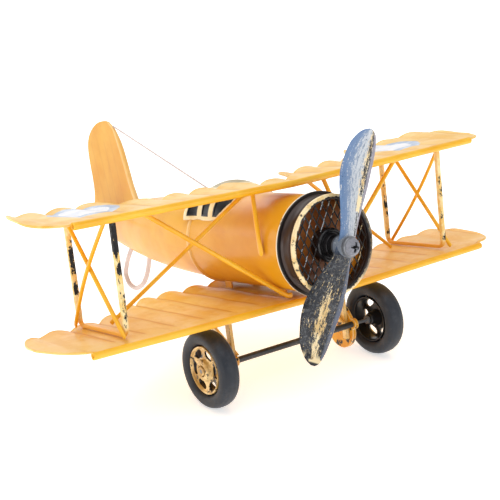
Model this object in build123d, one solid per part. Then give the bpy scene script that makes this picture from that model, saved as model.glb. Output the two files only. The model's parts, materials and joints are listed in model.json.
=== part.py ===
from build123d import *
import os
from math import atan2, cos, degrees, radians, sin, tan

# Desk model of a biplane in painted tinplate, in millimetres.
# Everything is laid out in the flight frame: nose towards -Y, +Z up, the centre plane at x = 0,
# y = 0 and z = 0 at the top of the front wing struts. At the end the model is tipped nose-up
# until both wheels and the tail skid stand on one floor, and moved so that the floor is z = 0.

# ---- fuselage ----
SHEET = 0.8                      # tin thickness of the fuselage
AXIS_Z = -29.4                   # height of the fuselage and propeller axis
BARREL_R = 25.2
BARREL_FRONT = -17.0
BARREL_REAR = 67.5
BULKHEAD = 2.0
BEAD_OUT = 0.9                   # how far the seam bead stands out
BEAD_LENGTH = 2.6
TAB_X = 9.0                      # tin tabs that hold the barrel to the lower wing
TAB_Y = (6.0, 56.0)
TAB_THICK = 1.0
TAB_LONG = 6.0
TAIL_END = 193.0
# rear fuselage stations: y, half width, half height, height of the middle
TAIL_STATIONS = [
    (BARREL_REAR, BARREL_R - 0.7, BARREL_R - 0.7, AXIS_Z),
    (110.0, 21.4, 21.7, -29.8),
    (154.0, 13.2, 17.1, -29.9),
    (TAIL_END, 4.2, 11.2, -28.3),
]

# ---- cowl, from the front face of the barrel forwards ----
FLANGE_R = 27.0
FLANGE_LENGTH = 1.8
DRUM_R = 24.4
DRUM_WAIST = 1.1                 # depth of the hollow round the drum
RING_R = 25.9
RING_LENGTH = 2.2
RING_FRONT = -29.6
COWL_BORE = 23.2
BACKING_Y = -22.0                # front face of the backing plate
MESH_Y = -26.8                   # front face of the grille
MESH_THICK = 0.8
MESH_WIRE = 0.85
DIAMOND_WIDE = 4.6
DIAMOND_TALL = 8.4
BOSS_R = 8.8
BOSS_FRONT = -34.0

# ---- propeller and its M5 screw ----
PROP_LEAN = 26.8                 # upper blade leans to +X from vertical
HUB_BACK = -34.8
HUB_FRONT = -41.4
HUB_R = 5.8
SHANK_R = 2.5
RUNNING_GAP = 0.05
HEAD_R = 5.0
HEAD_FRONT = -45.4
WASHER = 0.4
WASHER_R = 5.5
NUT_WIDE_R = 4.6                 # centre to corner of the M5 nut
# blade stations: radius, chord, thickness, pitch angle, y of the chord's middle
BLADE_STATIONS = [
    (3.0, 10.6, 4.6, 5.0, -38.2),
    (8.0, 11.4, 4.0, 6.0, -37.6),
    (15.3, 15.2, 3.4, 11.4, -36.0),
    (23.0, 19.0, 3.0, 11.4, -34.3),
    (30.5, 21.6, 2.6, 9.0, -32.9),
    (37.0, 21.8, 2.3, 6.0, -32.1),
    (43.3, 20.5, 2.0, 4.2, -32.2),
    (51.0, 15.7, 1.7, 2.0, -32.9),
    (57.2, 8.4, 1.3, 0.0, -34.6),
    (60.6, 2.6, 0.8, 0.0, -36.0),
]

# ---- cabin: y, half width at the sill, height of the roof ----
CABIN_SILL = -16.5
CABIN_SHEET = 0.8
CABIN_STATIONS = [
    (33.6, 15.2, -3.0),
    (35.2, 18.0, -1.8),
    (38.0, 19.9, -0.7),
    (42.0, 21.0, 0.3),
    (47.0, 21.6, 1.4),
    (52.7, 21.7, 2.3),
    (62.0, 21.6, 0.8),
    (72.0, 20.8, -3.9),
]
PANE_BOTTOM = -13.1
PANE_TOP = -3.5
SCREEN_HALF = 8.5                # half width of the windscreen
POST_HALF = 10.3                 # its two posts reach out to here

# ---- wings ----
DIHEDRAL = 1.1
SKIN = 0.6
WAVE = 0.9                       # half height of the chordwise flutes
FLUTE = 17.0                     # distance between two flutes
UPPER_Z = 2.0
LOWER_Z = -57.9
ROLL_R = 1.9                     # rolled leading edge
ROLL_HALF = 119.0
UPPER_ROLL = (-3.2, 1.6)
LOWER_ROLL = (-3.0, -59.6)
SPAN_HALF = 145.0
STRAIGHT_HALF = 124.0            # the front edge is straight this far out
SCALLOP = 1.6                    # depth of the scallops on the trailing edge
CUTOUT_HALF = 12.0                   # the upper wing is cut back this far each side of the cabin

# ---- struts and rigging ----
STRUT_X = 105.0
STRUT_WIDE = 3.4
STRUT_LONG = 3.6
FOOT_TALL = 2.4
FOOT_WIDE = 1.8
FRONT_STRUT_Y = (3.5, 0.8)       # bottom, top
REAR_STRUT_Y = (50.5, 48.5)
BRACE_D = 1.7
LONG_ROD_D = 2.5
CROSS_ROD_D = 2.1
CABANE_D = 2.3

# ---- landing gear ----
WHEEL_X = 55.6
WHEEL_Y = 12.7
WHEEL_Z = -84.5
TYRE_R = 20.4
TYRE_HALF = 5.4
RIM_R = 12.6
RIM_HALF = 4.2
WEB = 1.1
SLOTS = 6
SLOT_MIDDLE_R = 9.2
SLOT_ARC = 22.0                  # degrees between the slot's two end centres
SLOT_WIDE = 3.9
HUB_OUT_R = 5.7
NUT_R = 2.7
AXLE_R = 1.0
AXLE_HALF = 61.4
LEG_X = 39.5
PLATE_R = 10.8
TUBE_R = 1.7

# ---- tail ----
FIN_SHEET = 0.8
FIN_FOLD = 2.6                   # thickness of the folded leading edge
SKID_D = 2.0
BEND_DROP = 0.984                # how far the skid's sharp corner lies under its rounded bend
TAILPLANE_HALF = 44.0
TAILPLANE_Z = -19.5
AERIAL_D = 0.7
EYELET_D = 1.6
STANCE = 11.5                    # nose-up angle on the floor

GAP = 0.05                       # daylight between two pieces that only lie together
CLOSE = 0.02                     # daylight of a piece that grips another one
PANE_GAP = 0.03


def mirrored(shape):
    """The same piece on the other side of the centre plane."""
    return mirror(shape, about=Plane.YZ)


def disc_y(front, back, radius, x=0.0, z=AXIS_Z):
    """A cylinder along Y."""
    plane = Plane(origin=(x, front, z), z_dir=(0, 1, 0))
    return extrude(plane * Circle(radius), amount=back - front)


def disc_x(start, end, radius, y=WHEEL_Y, z=WHEEL_Z):
    """A cylinder along X."""
    plane = Plane(origin=(start, y, z), z_dir=(1, 0, 0))
    return extrude(plane * Circle(radius), amount=end - start)


def ring_y(front, back, outer, inner):
    return disc_y(front, back, outer) - disc_y(front - 1, back + 1, inner)


def lathe_y(profile):
    """Turn a closed profile of (y, radius) points about the fuselage axis."""
    points = [(y, AXIS_Z + r) for y, r in profile]
    face = Plane.YZ * make_face(Polyline(*points, close=True))
    return revolve(face, Axis((0, 0, AXIS_Z), (0, 1, 0)), 360)


def lathe_x(profile):
    """Turn a closed profile of (x, radius) points about the right wheel's axle."""
    face = Plane.XY * make_face(Polyline(*[(x, r) for x, r in profile], close=True))
    turned = revolve(face, Axis.X, 360)
    return Pos(WHEEL_X, WHEEL_Y, WHEEL_Z) * turned


def rod(start, end, diameter):
    """A straight round rod between two points."""
    start = Vector(*start)
    run = Vector(*end) - start
    plane = Plane(origin=start, z_dir=run)
    return extrude(plane * Circle(diameter / 2), amount=run.length)


def post(bottom, top, wide, long):
    """A rectangular bar whose two ends are level."""
    lower = Plane(origin=bottom) * Rectangle(wide, long)
    upper = Plane(origin=top) * Rectangle(wide, long)
    return loft([lower, upper], ruled=True)


def side_sheet(face, x, thick):
    """Extrude a face drawn in (y, z) into a sheet centred on x."""
    plane = Plane(origin=(x - thick / 2, 0, 0), x_dir=(0, 1, 0), z_dir=(1, 0, 0))
    return extrude(plane * face, amount=thick)


def box_between(low, high):
    """A box given by its two corners."""
    size = [b - a for a, b in zip(low, high)]
    middle = [(a + b) / 2 for a, b in zip(low, high)]
    return Pos(*middle) * Box(*size)


# ---------------------------------------------------------------- fuselage

def tail_solid(inset):
    """The rear fuselage as a solid, drawn in by the sheet thickness for its inside."""
    faces = []
    for y, half_wide, half_tall, middle in TAIL_STATIONS:
        plane = Plane(origin=(0, y, middle), x_dir=(1, 0, 0), z_dir=(0, -1, 0))
        faces.append(plane * Ellipse(half_wide - inset, half_tall - inset))
    return loft(faces)


def fuselage():
    """Barrel, tapering rear shell and what joins them."""
    barrel = ring_y(BARREL_FRONT, BARREL_REAR, BARREL_R, BARREL_R - SHEET)
    tail = tail_solid(0) - tail_solid(SHEET)
    end_y, end_half_wide, end_half_tall, end_z = TAIL_STATIONS[-1]
    cap_plane = Plane(origin=(0, end_y, end_z), x_dir=(1, 0, 0), z_dir=(0, 1, 0))
    tail += extrude(cap_plane * Ellipse(end_half_wide, end_half_tall), amount=SHEET)
    bead_mid = BARREL_REAR - BEAD_LENGTH / 2
    bead = lathe_y([
        (bead_mid - BEAD_LENGTH / 2, BARREL_R + CLOSE),
        (bead_mid - BEAD_LENGTH / 4, BARREL_R + BEAD_OUT * 0.8),
        (bead_mid, BARREL_R + BEAD_OUT),
        (bead_mid + BEAD_LENGTH / 4, BARREL_R + BEAD_OUT * 0.8),
        (bead_mid + BEAD_LENGTH / 2, BARREL_R + CLOSE),
    ])
    bulkhead = disc_y(BARREL_REAR - BULKHEAD, BARREL_REAR, BARREL_R - SHEET - CLOSE)
    wing_top = LOWER_Z + WAVE + SKIN / 2
    barrel_room = disc_y(BARREL_FRONT, BARREL_REAR, BARREL_R + CLOSE)
    tabs = []
    for x in (-TAB_X, TAB_X):
        for y in TAB_Y:
            low = (x - TAB_THICK / 2, y - TAB_LONG / 2, wing_top + 0.25)
            high = (x + TAB_THICK / 2, y + TAB_LONG / 2, AXIS_Z - 20)
            tabs.append(box_between(low, high) - barrel_room)
    return {
        "front_fuselage_shell": barrel,
        "rear_fuselage_shell": tail,
        "fuselage_seam_bead": bead,
        "seam_bulkhead": bulkhead,
        "fuselage_tabs": Compound(tabs),
    }


# ---------------------------------------------------------------- cowl

def diamond_mesh():
    """Flat diamond mesh: two families of slanting wires inside a rim, open at the boss."""
    angle = degrees(atan2(DIAMOND_TALL, DIAMOND_WIDE))
    step = DIAMOND_WIDE * sin(radians(angle))
    count = int(COWL_BORE / step) + 1
    wires = Sketch()
    for turn in (angle, -angle):
        for i in range(-count, count + 1):
            wires += Rot(0, 0, turn) * Pos(0, (i + 0.5) * step) * Rectangle(3 * COWL_BORE, MESH_WIRE)
    wires += Circle(BOSS_R + 0.9)
    disc = wires & Circle(COWL_BORE - 0.9)
    rim = Circle(COWL_BORE - GAP) - Circle(COWL_BORE - 1.2)
    flat = disc + rim - Circle(BOSS_R + GAP)
    plane = Plane(origin=(0, MESH_Y, AXIS_Z), x_dir=(1, 0, 0), z_dir=(0, -1, 0))
    return extrude(plane * flat, amount=-MESH_THICK)


def cowl():
    """Waisted drum between two flanges, with the grille and the boss inside."""
    flange_front = BARREL_FRONT - FLANGE_LENGTH
    drum_front = RING_FRONT + RING_LENGTH
    flange = lathe_y([
        (BARREL_FRONT, BARREL_R - SHEET),
        (BARREL_FRONT, FLANGE_R - 0.4),
        (BARREL_FRONT - 0.4, FLANGE_R),
        (flange_front + 0.4, FLANGE_R),
        (flange_front, FLANGE_R - 0.4),
        (flange_front, COWL_BORE),
        (BARREL_FRONT - 0.6, COWL_BORE),
    ])
    waist = (flange_front + drum_front) / 2
    drum = lathe_y([
        (flange_front, COWL_BORE),
        (flange_front, DRUM_R + 0.9),
        (waist + 2.6, DRUM_R),
        (waist, DRUM_R - DRUM_WAIST * 0.4),
        (waist - 2.6, DRUM_R),
        (drum_front, DRUM_R + 0.5),
        (drum_front, COWL_BORE),
    ])
    ring = lathe_y([
        (drum_front, COWL_BORE),
        (drum_front, RING_R - 0.5),
        (drum_front - 0.5, RING_R),
        (RING_FRONT + 0.6, RING_R),
        (RING_FRONT, RING_R - 0.6),
        (RING_FRONT, COWL_BORE + 0.5),
        (RING_FRONT + 0.5, COWL_BORE),
    ])
    backing = disc_y(BACKING_Y, BACKING_Y + 1, COWL_BORE - GAP) - disc_y(-40, 0, SHANK_R + 0.2)
    boss = lathe_y([
        (BACKING_Y, SHANK_R + CLOSE),
        (BACKING_Y, BOSS_R),
        (-27.8, BOSS_R),
        (-28.4, BOSS_R - 0.6),
        (-28.4, 7.0),
        (-27.6, 6.6),
        (-27.6, 5.6),
        (-29.8, 5.4),
        (-31.6, 5.0),
        (BOSS_FRONT, 4.6),
        (BOSS_FRONT, SHANK_R + CLOSE),
    ])
    return {
        "cowl_rear_flange": flange,
        "cowl_drum": drum,
        "cowl_front_ring": ring,
        "cowl_backing_plate": backing,
        "grille_mesh": diamond_mesh(),
        "motor_boss": boss,
    }


# ---------------------------------------------------------------- propeller

def blade(lean):
    """One twisted blade, pointing up at the given lean to +X."""
    along = Vector(sin(radians(lean)), 0, cos(radians(lean)))
    across = Vector(cos(radians(lean)), 0, -sin(radians(lean)))
    sections = []
    for radius, chord, thick, pitch, y in BLADE_STATIONS:
        chord_dir = across * cos(radians(pitch)) + Vector(0, 1, 0) * sin(radians(pitch))
        middle = Vector(0, y, AXIS_Z) + along * radius
        plane = Plane(origin=middle, x_dir=chord_dir, z_dir=along)
        sections.append(plane * Ellipse(chord / 2, thick / 2))
    return loft(sections)


def propeller():
    """The turning casting, and the screw, washers and nut that it runs on."""
    hub = disc_y(HUB_FRONT, HUB_BACK, HUB_R)
    hub = chamfer(hub.edges().filter_by(GeomType.CIRCLE), 0.6)
    casting = hub + blade(PROP_LEAN) + blade(PROP_LEAN + 180)
    casting -= disc_y(-60, 0, SHANK_R + RUNNING_GAP)
    casting -= disc_y(-60, HUB_FRONT, 12) + disc_y(HUB_BACK, 0, 12)
    washer_back = HUB_FRONT - 0.2
    washers = [
        ring_y(washer_back - WASHER, washer_back, WASHER_R, SHANK_R + CLOSE),
        ring_y(BOSS_FRONT - WASHER, BOSS_FRONT, WASHER_R, SHANK_R + CLOSE),
    ]
    head_back = washer_back - WASHER
    head = lathe_y([
        (head_back, 0),
        (head_back, HEAD_R),
        (head_back - 1.0, HEAD_R),
        (head_back - 2.2, HEAD_R - 0.7),
        (HEAD_FRONT + 0.4, HEAD_R - 2.0),
        (HEAD_FRONT, HEAD_R - 3.2),
        (HEAD_FRONT, 0),
    ])
    recess = Pos(0, HEAD_FRONT + 0.9, AXIS_Z) * (Box(4.4, 2.0, 1.1) + Box(1.1, 2.0, 4.4))
    nut_front = BACKING_Y + 1
    screw = head - recess + disc_y(head_back, nut_front + 4.4, SHANK_R)
    nut_plane = Plane(origin=(0, nut_front, AXIS_Z), z_dir=(0, 1, 0))
    nut = extrude(nut_plane * RegularPolygon(NUT_WIDE_R, 6), amount=3.2)
    nut -= disc_y(-40, 0, SHANK_R + CLOSE)
    return {
        "propeller": casting,
        "propeller_washers": Compound(washers),
        "propeller_screw": screw,
        "propeller_nut": nut,
    }


# ---------------------------------------------------------------- cabin

def cabin_solid(inset):
    """The cabin's arched body, drawn in by inset."""
    faces = []
    for y, half_wide, roof in CABIN_STATIONS:
        half = half_wide - inset
        tall = roof - inset - CABIN_SILL
        arch = EllipticalCenterArc((0, CABIN_SILL), half, tall, 0, arc_size=180)
        face = make_face(arch + Line((-half, CABIN_SILL), (half, CABIN_SILL)))
        plane = Plane(origin=(0, y, 0), x_dir=(1, 0, 0), z_dir=(0, -1, 0))
        faces.append(plane * face)
    return loft(faces)


def window_openings(grow):
    """The three side openings as prisms through the cabin: two panes and a long front one."""
    rear = Polyline((60.9, PANE_BOTTOM), (66.9, PANE_BOTTOM), (66.9, PANE_TOP), (60.9, PANE_TOP), close=True)
    middle = Polyline((49.5, PANE_BOTTOM), (54.7, PANE_BOTTOM), (54.7, PANE_TOP), (49.5, PANE_TOP), close=True)
    front = Polyline(
        (44.2, PANE_TOP),
        (44.2, PANE_BOTTOM),
        (41.5, PANE_BOTTOM),
        (38.9, -11.4),
        (36.9, -8.8),
        (36.0, PANE_TOP),
        close=True,
    )
    cut = Part()
    for outline in (rear, middle, front):
        face = make_face(outline)
        if grow:
            face = offset(face, amount=grow, kind=Kind.INTERSECTION)
        cut += side_sheet(face, 0, 80)
    between_posts = POST_HALF - grow
    return cut - box_between((-between_posts, 20, -20), (between_posts, 48, 10))


def screen_opening(grow):
    """The front opening between the two posts, with a lip left along the barrel."""
    half = SCREEN_HALF + grow
    opening = box_between((-half, 30, -10), (half, 41.5 + grow, 5))
    return opening - disc_y(20, 60, BARREL_R + 1.7 - grow)


def cabin():
    """Cabin shell on the barrel, its black side windows and the windscreen."""
    barrel = disc_y(-10, BARREL_REAR + 0.2, BARREL_R + GAP)
    barrel += tail_solid(-GAP)
    outer = cabin_solid(0)
    middle = cabin_solid(CABIN_SHEET / 2)
    inner = cabin_solid(CABIN_SHEET)
    bead_room_r = BARREL_R + BEAD_OUT + GAP
    bead_room = disc_y(BARREL_REAR - BEAD_LENGTH - GAP, BARREL_REAR + GAP, bead_room_r)
    shell = outer - inner - barrel - bead_room - window_openings(0) - screen_opening(0)
    layer = middle - inner - barrel - bead_room
    panes = layer & window_openings(-PANE_GAP)
    glass = layer & screen_opening(-PANE_GAP)
    return {
        "cabin_shell": shell,
        "cabin_windows": panes,
        "windscreen": glass,
    }


# ---------------------------------------------------------------- wings

def upper_trailing(x):
    """Chordwise place of the upper wing's trailing edge at a distance x from the middle."""
    if x < CUTOUT_HALF:
        return 15.5
    return 31.5 + 28.5 * min(max((x - 62.0) / 30.0, 0.0), 1.0)


def lower_trailing(x):
    return 80.0 - 27.5 * min(max((x - 42.0) / 58.0, 0.0), 1.0)


def fluted_sheet(middle_z):
    """A long sheet with round chordwise flutes, rising to both tips by the dihedral."""
    rise = tan(radians(DIHEDRAL))
    cells = int(SPAN_HALF / FLUTE) + 1
    edges = [(i + 0.5) * FLUTE for i in range(-cells - 1, cells + 1)]

    def height(x, offset_z):
        return middle_z + abs(x) * rise + offset_z

    def end_line(x):
        return Line((x, height(x, SKIN / 2 - WAVE)), (x, height(x, -SKIN / 2 - WAVE)))

    def flute_line(shift):
        line = Curve()
        for start, end in zip(edges[:-1], edges[1:]):
            mid = (start + end) / 2
            line += ThreePointArc(
                (start, height(start, shift - WAVE)),
                (mid, height(mid, shift + WAVE)),
                (end, height(end, shift - WAVE)),
            )
        return line

    top = flute_line(SKIN / 2)
    bottom = flute_line(-SKIN / 2)
    face = make_face(top + bottom + end_line(edges[0]) + end_line(edges[-1]))
    plane = Plane(origin=(0, -20, 0), x_dir=(1, 0, 0), z_dir=(0, -1, 0))
    return extrude(plane * face, amount=-120)


def wing_outline(front, trailing, tip_back):
    """Plan of a wing: straight front, round tips, scalloped trailing edge."""
    scallops = [(i + 0.5) * FLUTE for i in range(int((SPAN_HALF - 12) / FLUTE))]
    edge_x = [-x for x in reversed(scallops)] + scallops
    last = scallops[-1]
    outline = Line((-STRAIGHT_HALF, front), (STRAIGHT_HALF, front))
    tip = [
        (STRAIGHT_HALF, front),
        (139, front + 9),
        (SPAN_HALF, front + 29),
        (141, tip_back - 10),
        (last, trailing(last)),
    ]
    outline += Spline(*tip)
    outline += Spline(*[(-x, y) for x, y in tip])
    for start, end in zip(edge_x[:-1], edge_x[1:]):
        mid = (start + end) / 2
        crest = (trailing(abs(start)) + trailing(abs(end))) / 2 + SCALLOP
        outline += ThreePointArc((start, trailing(abs(start))), (mid, crest), (end, trailing(abs(end))))
    return make_face(outline)


def wing(middle_z, roll, trailing, tip_back):
    """One wing skin and its rolled leading edge."""
    front = roll[0] + ROLL_R + GAP
    prism = extrude(Pos(0, 0, middle_z - 10) * wing_outline(front, trailing, tip_back), amount=30)
    skin = fluted_sheet(middle_z) & prism
    rise = ROLL_HALF * tan(radians(DIHEDRAL))
    centre = (0, roll[0], roll[1])
    edge = rod(centre, (ROLL_HALF, roll[0], roll[1] + rise), 2 * ROLL_R)
    edge += rod(centre, (-ROLL_HALF, roll[0], roll[1] + rise), 2 * ROLL_R)
    edge += Pos(*centre) * Sphere(ROLL_R)
    return skin, edge


def wings():
    upper_skin, upper_edge = wing(UPPER_Z, UPPER_ROLL, upper_trailing, 58.0)
    lower_skin, lower_edge = wing(LOWER_Z, LOWER_ROLL, lower_trailing, 50.0)
    return {
        "upper_wing_skin": upper_skin,
        "upper_leading_edge": upper_edge,
        "lower_wing_skin": lower_skin,
        "lower_leading_edge": lower_edge,
    }


# ---------------------------------------------------------------- struts and rigging

def under_upper(x):
    """Height just under the lowest line of the upper skin."""
    return UPPER_Z + abs(x) * tan(radians(DIHEDRAL)) - WAVE - SKIN / 2 - GAP


def over_lower(x):
    """Height just over the highest line of the lower skin."""
    return LOWER_Z + abs(x) * tan(radians(DIHEDRAL)) + WAVE + SKIN / 2 + GAP


def strut_frame():
    """Right-hand strut frame: foot bar on the lower wing, two posts, crossed braces outside."""
    outer_x = STRUT_X + STRUT_WIDE / 2
    foot_z = over_lower(outer_x)
    top_z = under_upper(STRUT_X - STRUT_WIDE / 2)
    foot = box_between(
        (STRUT_X - FOOT_WIDE / 2, FRONT_STRUT_Y[0] - STRUT_LONG / 2, foot_z),
        (STRUT_X + FOOT_WIDE / 2, REAR_STRUT_Y[0] + STRUT_LONG / 2, foot_z + FOOT_TALL),
    )
    foot_top = foot_z + FOOT_TALL
    posts = []
    for low_y, high_y in (FRONT_STRUT_Y, REAR_STRUT_Y):
        bottom = (STRUT_X, low_y, foot_top)
        posts.append(post(bottom, (STRUT_X, high_y, top_z), STRUT_WIDE, STRUT_LONG))
    brace_x = outer_x + BRACE_D / 2 + GAP
    low = over_lower(brace_x + BRACE_D) + BRACE_D / 2
    high = under_upper(brace_x) - BRACE_D / 2
    falling = rod((brace_x, 44.6, high), (brace_x, 0.2, low), BRACE_D)
    bow = brace_x + BRACE_D + 0.1
    path = ThreePointArc((brace_x, 2.6, high), (bow, 26.6, (low + high) / 2), (brace_x, 51.2, low))
    rising = sweep(Plane(origin=path @ 0, z_dir=path % 0) * Circle(BRACE_D / 2), path=path)
    return {
        "front_strut": posts[0],
        "rear_strut": posts[1],
        "strut_foot": foot,
        "brace_falling": falling,
        "brace_rising": rising,
    }


def rigging():
    """Right-hand long rods between the wings and the cabane strut."""
    high = (84.5, 11.0, under_upper(84.5) - LONG_ROD_D / 2)
    low = (11.6, -0.8, -55.2)
    flattened_end = Pos(low[0] - 1.0, low[1], low[2]) * Rot(0, 0, 8) * Box(4.5, 1.2, 2.0)
    long_rod = rod(high, low, LONG_ROD_D) + flattened_end
    root = (17.8, 12.6, under_upper(17.8) - CROSS_ROD_D / 2)
    outboard = (95.2, 36.8, over_lower(95.2) + CROSS_ROD_D / 2)
    cross_rod = rod(root, outboard, CROSS_ROD_D)
    cabane = rod((23.2, 1.6, under_upper(23.2) - 0.4), (26.4, -3.0, -23.5), CABANE_D)
    pad = ring_y(-5.5, -0.9, BARREL_R + 1.1, BARREL_R + GAP)
    cabane += pad & box_between((20, -9, -34), (40, 9, -20))
    cabane -= disc_y(-9, 9, BARREL_R + GAP)
    return {"long_rod": long_rod, "cross_rod": cross_rod, "cabane_strut": cabane}


# ---------------------------------------------------------------- landing gear

def landing_leg():
    """Right-hand leg: upright and rear strips, and the round axle plate that they carry."""
    wing_z = LOWER_Z + LEG_X * tan(radians(DIHEDRAL)) - WAVE - SKIN / 2 - 0.2
    inner_x = LEG_X - 1.4
    upright = post((inner_x, 17.5, -93.0), (inner_x, 17.5, wing_z), 2.0, 3.4)
    rear_x = inner_x - 2.0 - GAP
    rear = post((rear_x, 17.5, -83.0), (rear_x, 52.0, wing_z), 1.6, 4.2)
    outline = Pos(23.4, -88.4) * Circle(PLATE_R)
    outline += Pos(WHEEL_Y, WHEEL_Z) * Circle(3.0)
    outline += make_face(Polyline((12.4, -83.4), (17.8, -75.5), (32.6, -82.4), close=True))
    plate = side_sheet(outline, LEG_X + 0.4, 1.2)
    lip = side_sheet(outline - offset(outline, amount=-1.0), LEG_X + 1.5, 1.0)
    plate = plate + lip - disc_x(0, 80, AXLE_R + CLOSE)
    return {"leg_upright": upright, "leg_rear_strip": rear, "axle_plate": plate}


def axle():
    """Axle rod through both plates, the dark spreader tube on it, collars and end nuts."""
    plate_in = LEG_X + 0.4 - 0.6
    tube = disc_x(-plate_in + GAP, plate_in - GAP, TUBE_R) - disc_x(-80, 80, AXLE_R + CLOSE)
    bar = disc_x(-AXLE_HALF, AXLE_HALF, AXLE_R)
    collar_out = WHEEL_X - RIM_HALF - 0.6
    nut_in = WHEEL_X + RIM_HALF + 0.4
    collars = []
    nuts = []
    for side in (-1, 1):
        collar = disc_x(side * (collar_out - 1.2), side * collar_out, 2.2) - disc_x(-80, 80, AXLE_R + CLOSE)
        nut_plane = Plane(origin=(side * nut_in, WHEEL_Y, WHEEL_Z), z_dir=(side, 0, 0))
        nut = extrude(nut_plane * RegularPolygon(NUT_R, 6), amount=1.2) - disc_x(-80, 80, AXLE_R + CLOSE)
        collars.append(collar)
        nuts.append(nut)
    return {
        "spreader_tube": tube,
        "axle_rod": bar,
        "axle_collars": Compound(collars),
        "axle_nuts": Compound(nuts),
    }


def wheel():
    """Right-hand wheel: tyre, slotted rim with its hub, and the ring-shaped hub cap."""
    tyre_face = RectangleRounded(2 * TYRE_HALF, 2 * (TYRE_R - RIM_R), 4.6)
    tyre_face &= Pos(0, (TYRE_R - RIM_R) / 2) * Rectangle(2 * TYRE_HALF, TYRE_R - RIM_R)
    tyre_face = Pos(0, RIM_R) * tyre_face
    tyre = Pos(WHEEL_X, WHEEL_Y, WHEEL_Z) * revolve(tyre_face, Axis.X, 360)
    seat = RIM_R - CLOSE
    rim = lathe_x([
        (-RIM_HALF, seat), (-RIM_HALF, seat - 0.7), (-WEB, seat - 1.1),
        (-WEB, 4.2), (-RIM_HALF, 3.4), (-RIM_HALF, AXLE_R + RUNNING_GAP),
        (RIM_HALF, AXLE_R + RUNNING_GAP), (RIM_HALF, HUB_OUT_R), (WEB, 6.4),
        (0, 6.8), (0, seat - 1.1), (RIM_HALF, seat - 0.7), (RIM_HALF, seat),
    ])
    slot = SlotArc(CenterArc((0, 0), SLOT_MIDDLE_R, -SLOT_ARC / 2, SLOT_ARC), SLOT_WIDE)
    for i in range(SLOTS):
        plane = Plane(origin=(WHEEL_X - 10, WHEEL_Y, WHEEL_Z), x_dir=(0, 1, 0), z_dir=(1, 0, 0))
        rim -= extrude(plane * Rot(0, 0, i * 360 / SLOTS) * slot, amount=20)
    cap = lathe_x([
        (RIM_HALF, HUB_OUT_R - 0.2), (RIM_HALF + 0.7, HUB_OUT_R - 0.5), (RIM_HALF + 1.1, 4.4),
        (RIM_HALF + 1.1, NUT_R + 0.4), (RIM_HALF, NUT_R + 0.3),
    ])
    return {"tyre": tyre, "rim": rim, "hub_cap": cap}


# ---------------------------------------------------------------- tail

def fin():
    """Upright fin sheet and its folded leading edge."""
    base_front = (160.6, -12.9)
    leading = Spline(base_front, (165.0, -3.0), (169.0, 13.0), (172.4, 24.0), (178.0, 34.5), (188.5, 38.0))
    back = Spline((188.5, 38.0), (203.0, 34.0), (212.0, 25.5), (214.0, 10.0), (217.5, -17.3))
    base = Line((217.5, -17.3), (TAIL_END + 1.2, -16.9))
    base += Line((TAIL_END + 1.2, -16.9), base_front)
    outline = make_face(leading + back + base)
    sheet = side_sheet(outline, 0, FIN_SHEET) - tail_solid(-GAP)
    ahead = [(159.9, -12.9), (164.3, -3.0), (168.3, 13.0), (171.7, 24.0)]
    behind = [(172.6, 24.0), (170.6, 13.0), (168.2, -3.0), (164.6, -12.9)]
    strip_line = Spline(*ahead) + Line(ahead[-1], behind[0])
    strip_line += Spline(*behind) + Line(behind[-1], ahead[0])
    strip = side_sheet(make_face(strip_line), 0, FIN_FOLD) - side_sheet(outline, 0, FIN_SHEET + GAP)
    strip -= tail_solid(-GAP)
    return {"fin": sheet, "fin_leading_fold": strip}


def tailplane():
    """Level tailplane sheet in two halves let into the fuselage sides, joined behind it."""
    half = Spline(
        (0, 168.0),
        (14.0, 170.0),
        (33.0, 177.0),
        (TAILPLANE_HALF, 190.0),
        (39.0, 203.0),
        (20.0, 207.5),
        (0, 207.5),
    )
    face = make_face(half + Line((0, 207.5), (0, 168.0)))
    sheet = extrude(Pos(0, 0, TAILPLANE_Z) * face, amount=SHEET)
    sheet += mirrored(sheet)
    sheet -= tail_solid(-GAP)
    sheet -= box_between((-6, TAIL_END - 1, -60), (6, TAIL_END + SHEET + GAP, 20))
    sheet -= box_between((-FIN_SHEET / 2 - GAP, 150, -60), (FIN_SHEET / 2 + GAP, 204, 60))
    return sheet


def tail_skid():
    """Bent wire loop under the tail whose lowest point is on the floor with the wheels."""
    lean = radians(STANCE)
    floor = -WHEEL_Y * sin(lean) + WHEEL_Z * cos(lean) - TYRE_R
    low_y = 179.0
    low_z = (floor + SKID_D / 2 + low_y * sin(lean)) / cos(lean)
    path = Plane.YZ * FilletPolyline(
        (153.5, -45.0),
        (157.0, -62.5),
        (low_y - 2, low_z - BEND_DROP),
        (190.5, low_z + 7.0),
        (171.5, -41.0),
        radius=5,
    )
    wire = sweep(Plane(origin=path @ 0, z_dir=path % 0) * Circle(SKID_D / 2), path=path)
    return wire - tail_solid(-GAP)


def tail():
    parts = fin()
    parts["tailplane"] = tailplane()
    parts["tail_skid"] = tail_skid()
    foot = (0, 75.6, -3.8)
    wire = rod(foot, (0, 176.9, 34.6), AERIAL_D)
    eyelet = rod((foot[0], foot[1], foot[2] - 2.2), (foot[0], foot[1], foot[2] + 0.5), EYELET_D)
    parts["aerial_wire"] = wire
    parts["aerial_eyelet"] = eyelet - tail_solid(-GAP) - wire
    return parts


# ---------------------------------------------------------------- the whole model

def both_sides(parts):
    """The right-hand pieces and their mirror images, as left_ and right_ nodes."""
    pairs = {}
    for name, shape in parts.items():
        pairs["right_" + name] = shape
        pairs["left_" + name] = mirrored(shape)
    return pairs


nodes = {}
for group in (fuselage, cowl, propeller, cabin, wings, axle, tail):
    nodes.update(group())
for group in (strut_frame, rigging, landing_leg, wheel):
    nodes.update(both_sides(group()))

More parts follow.
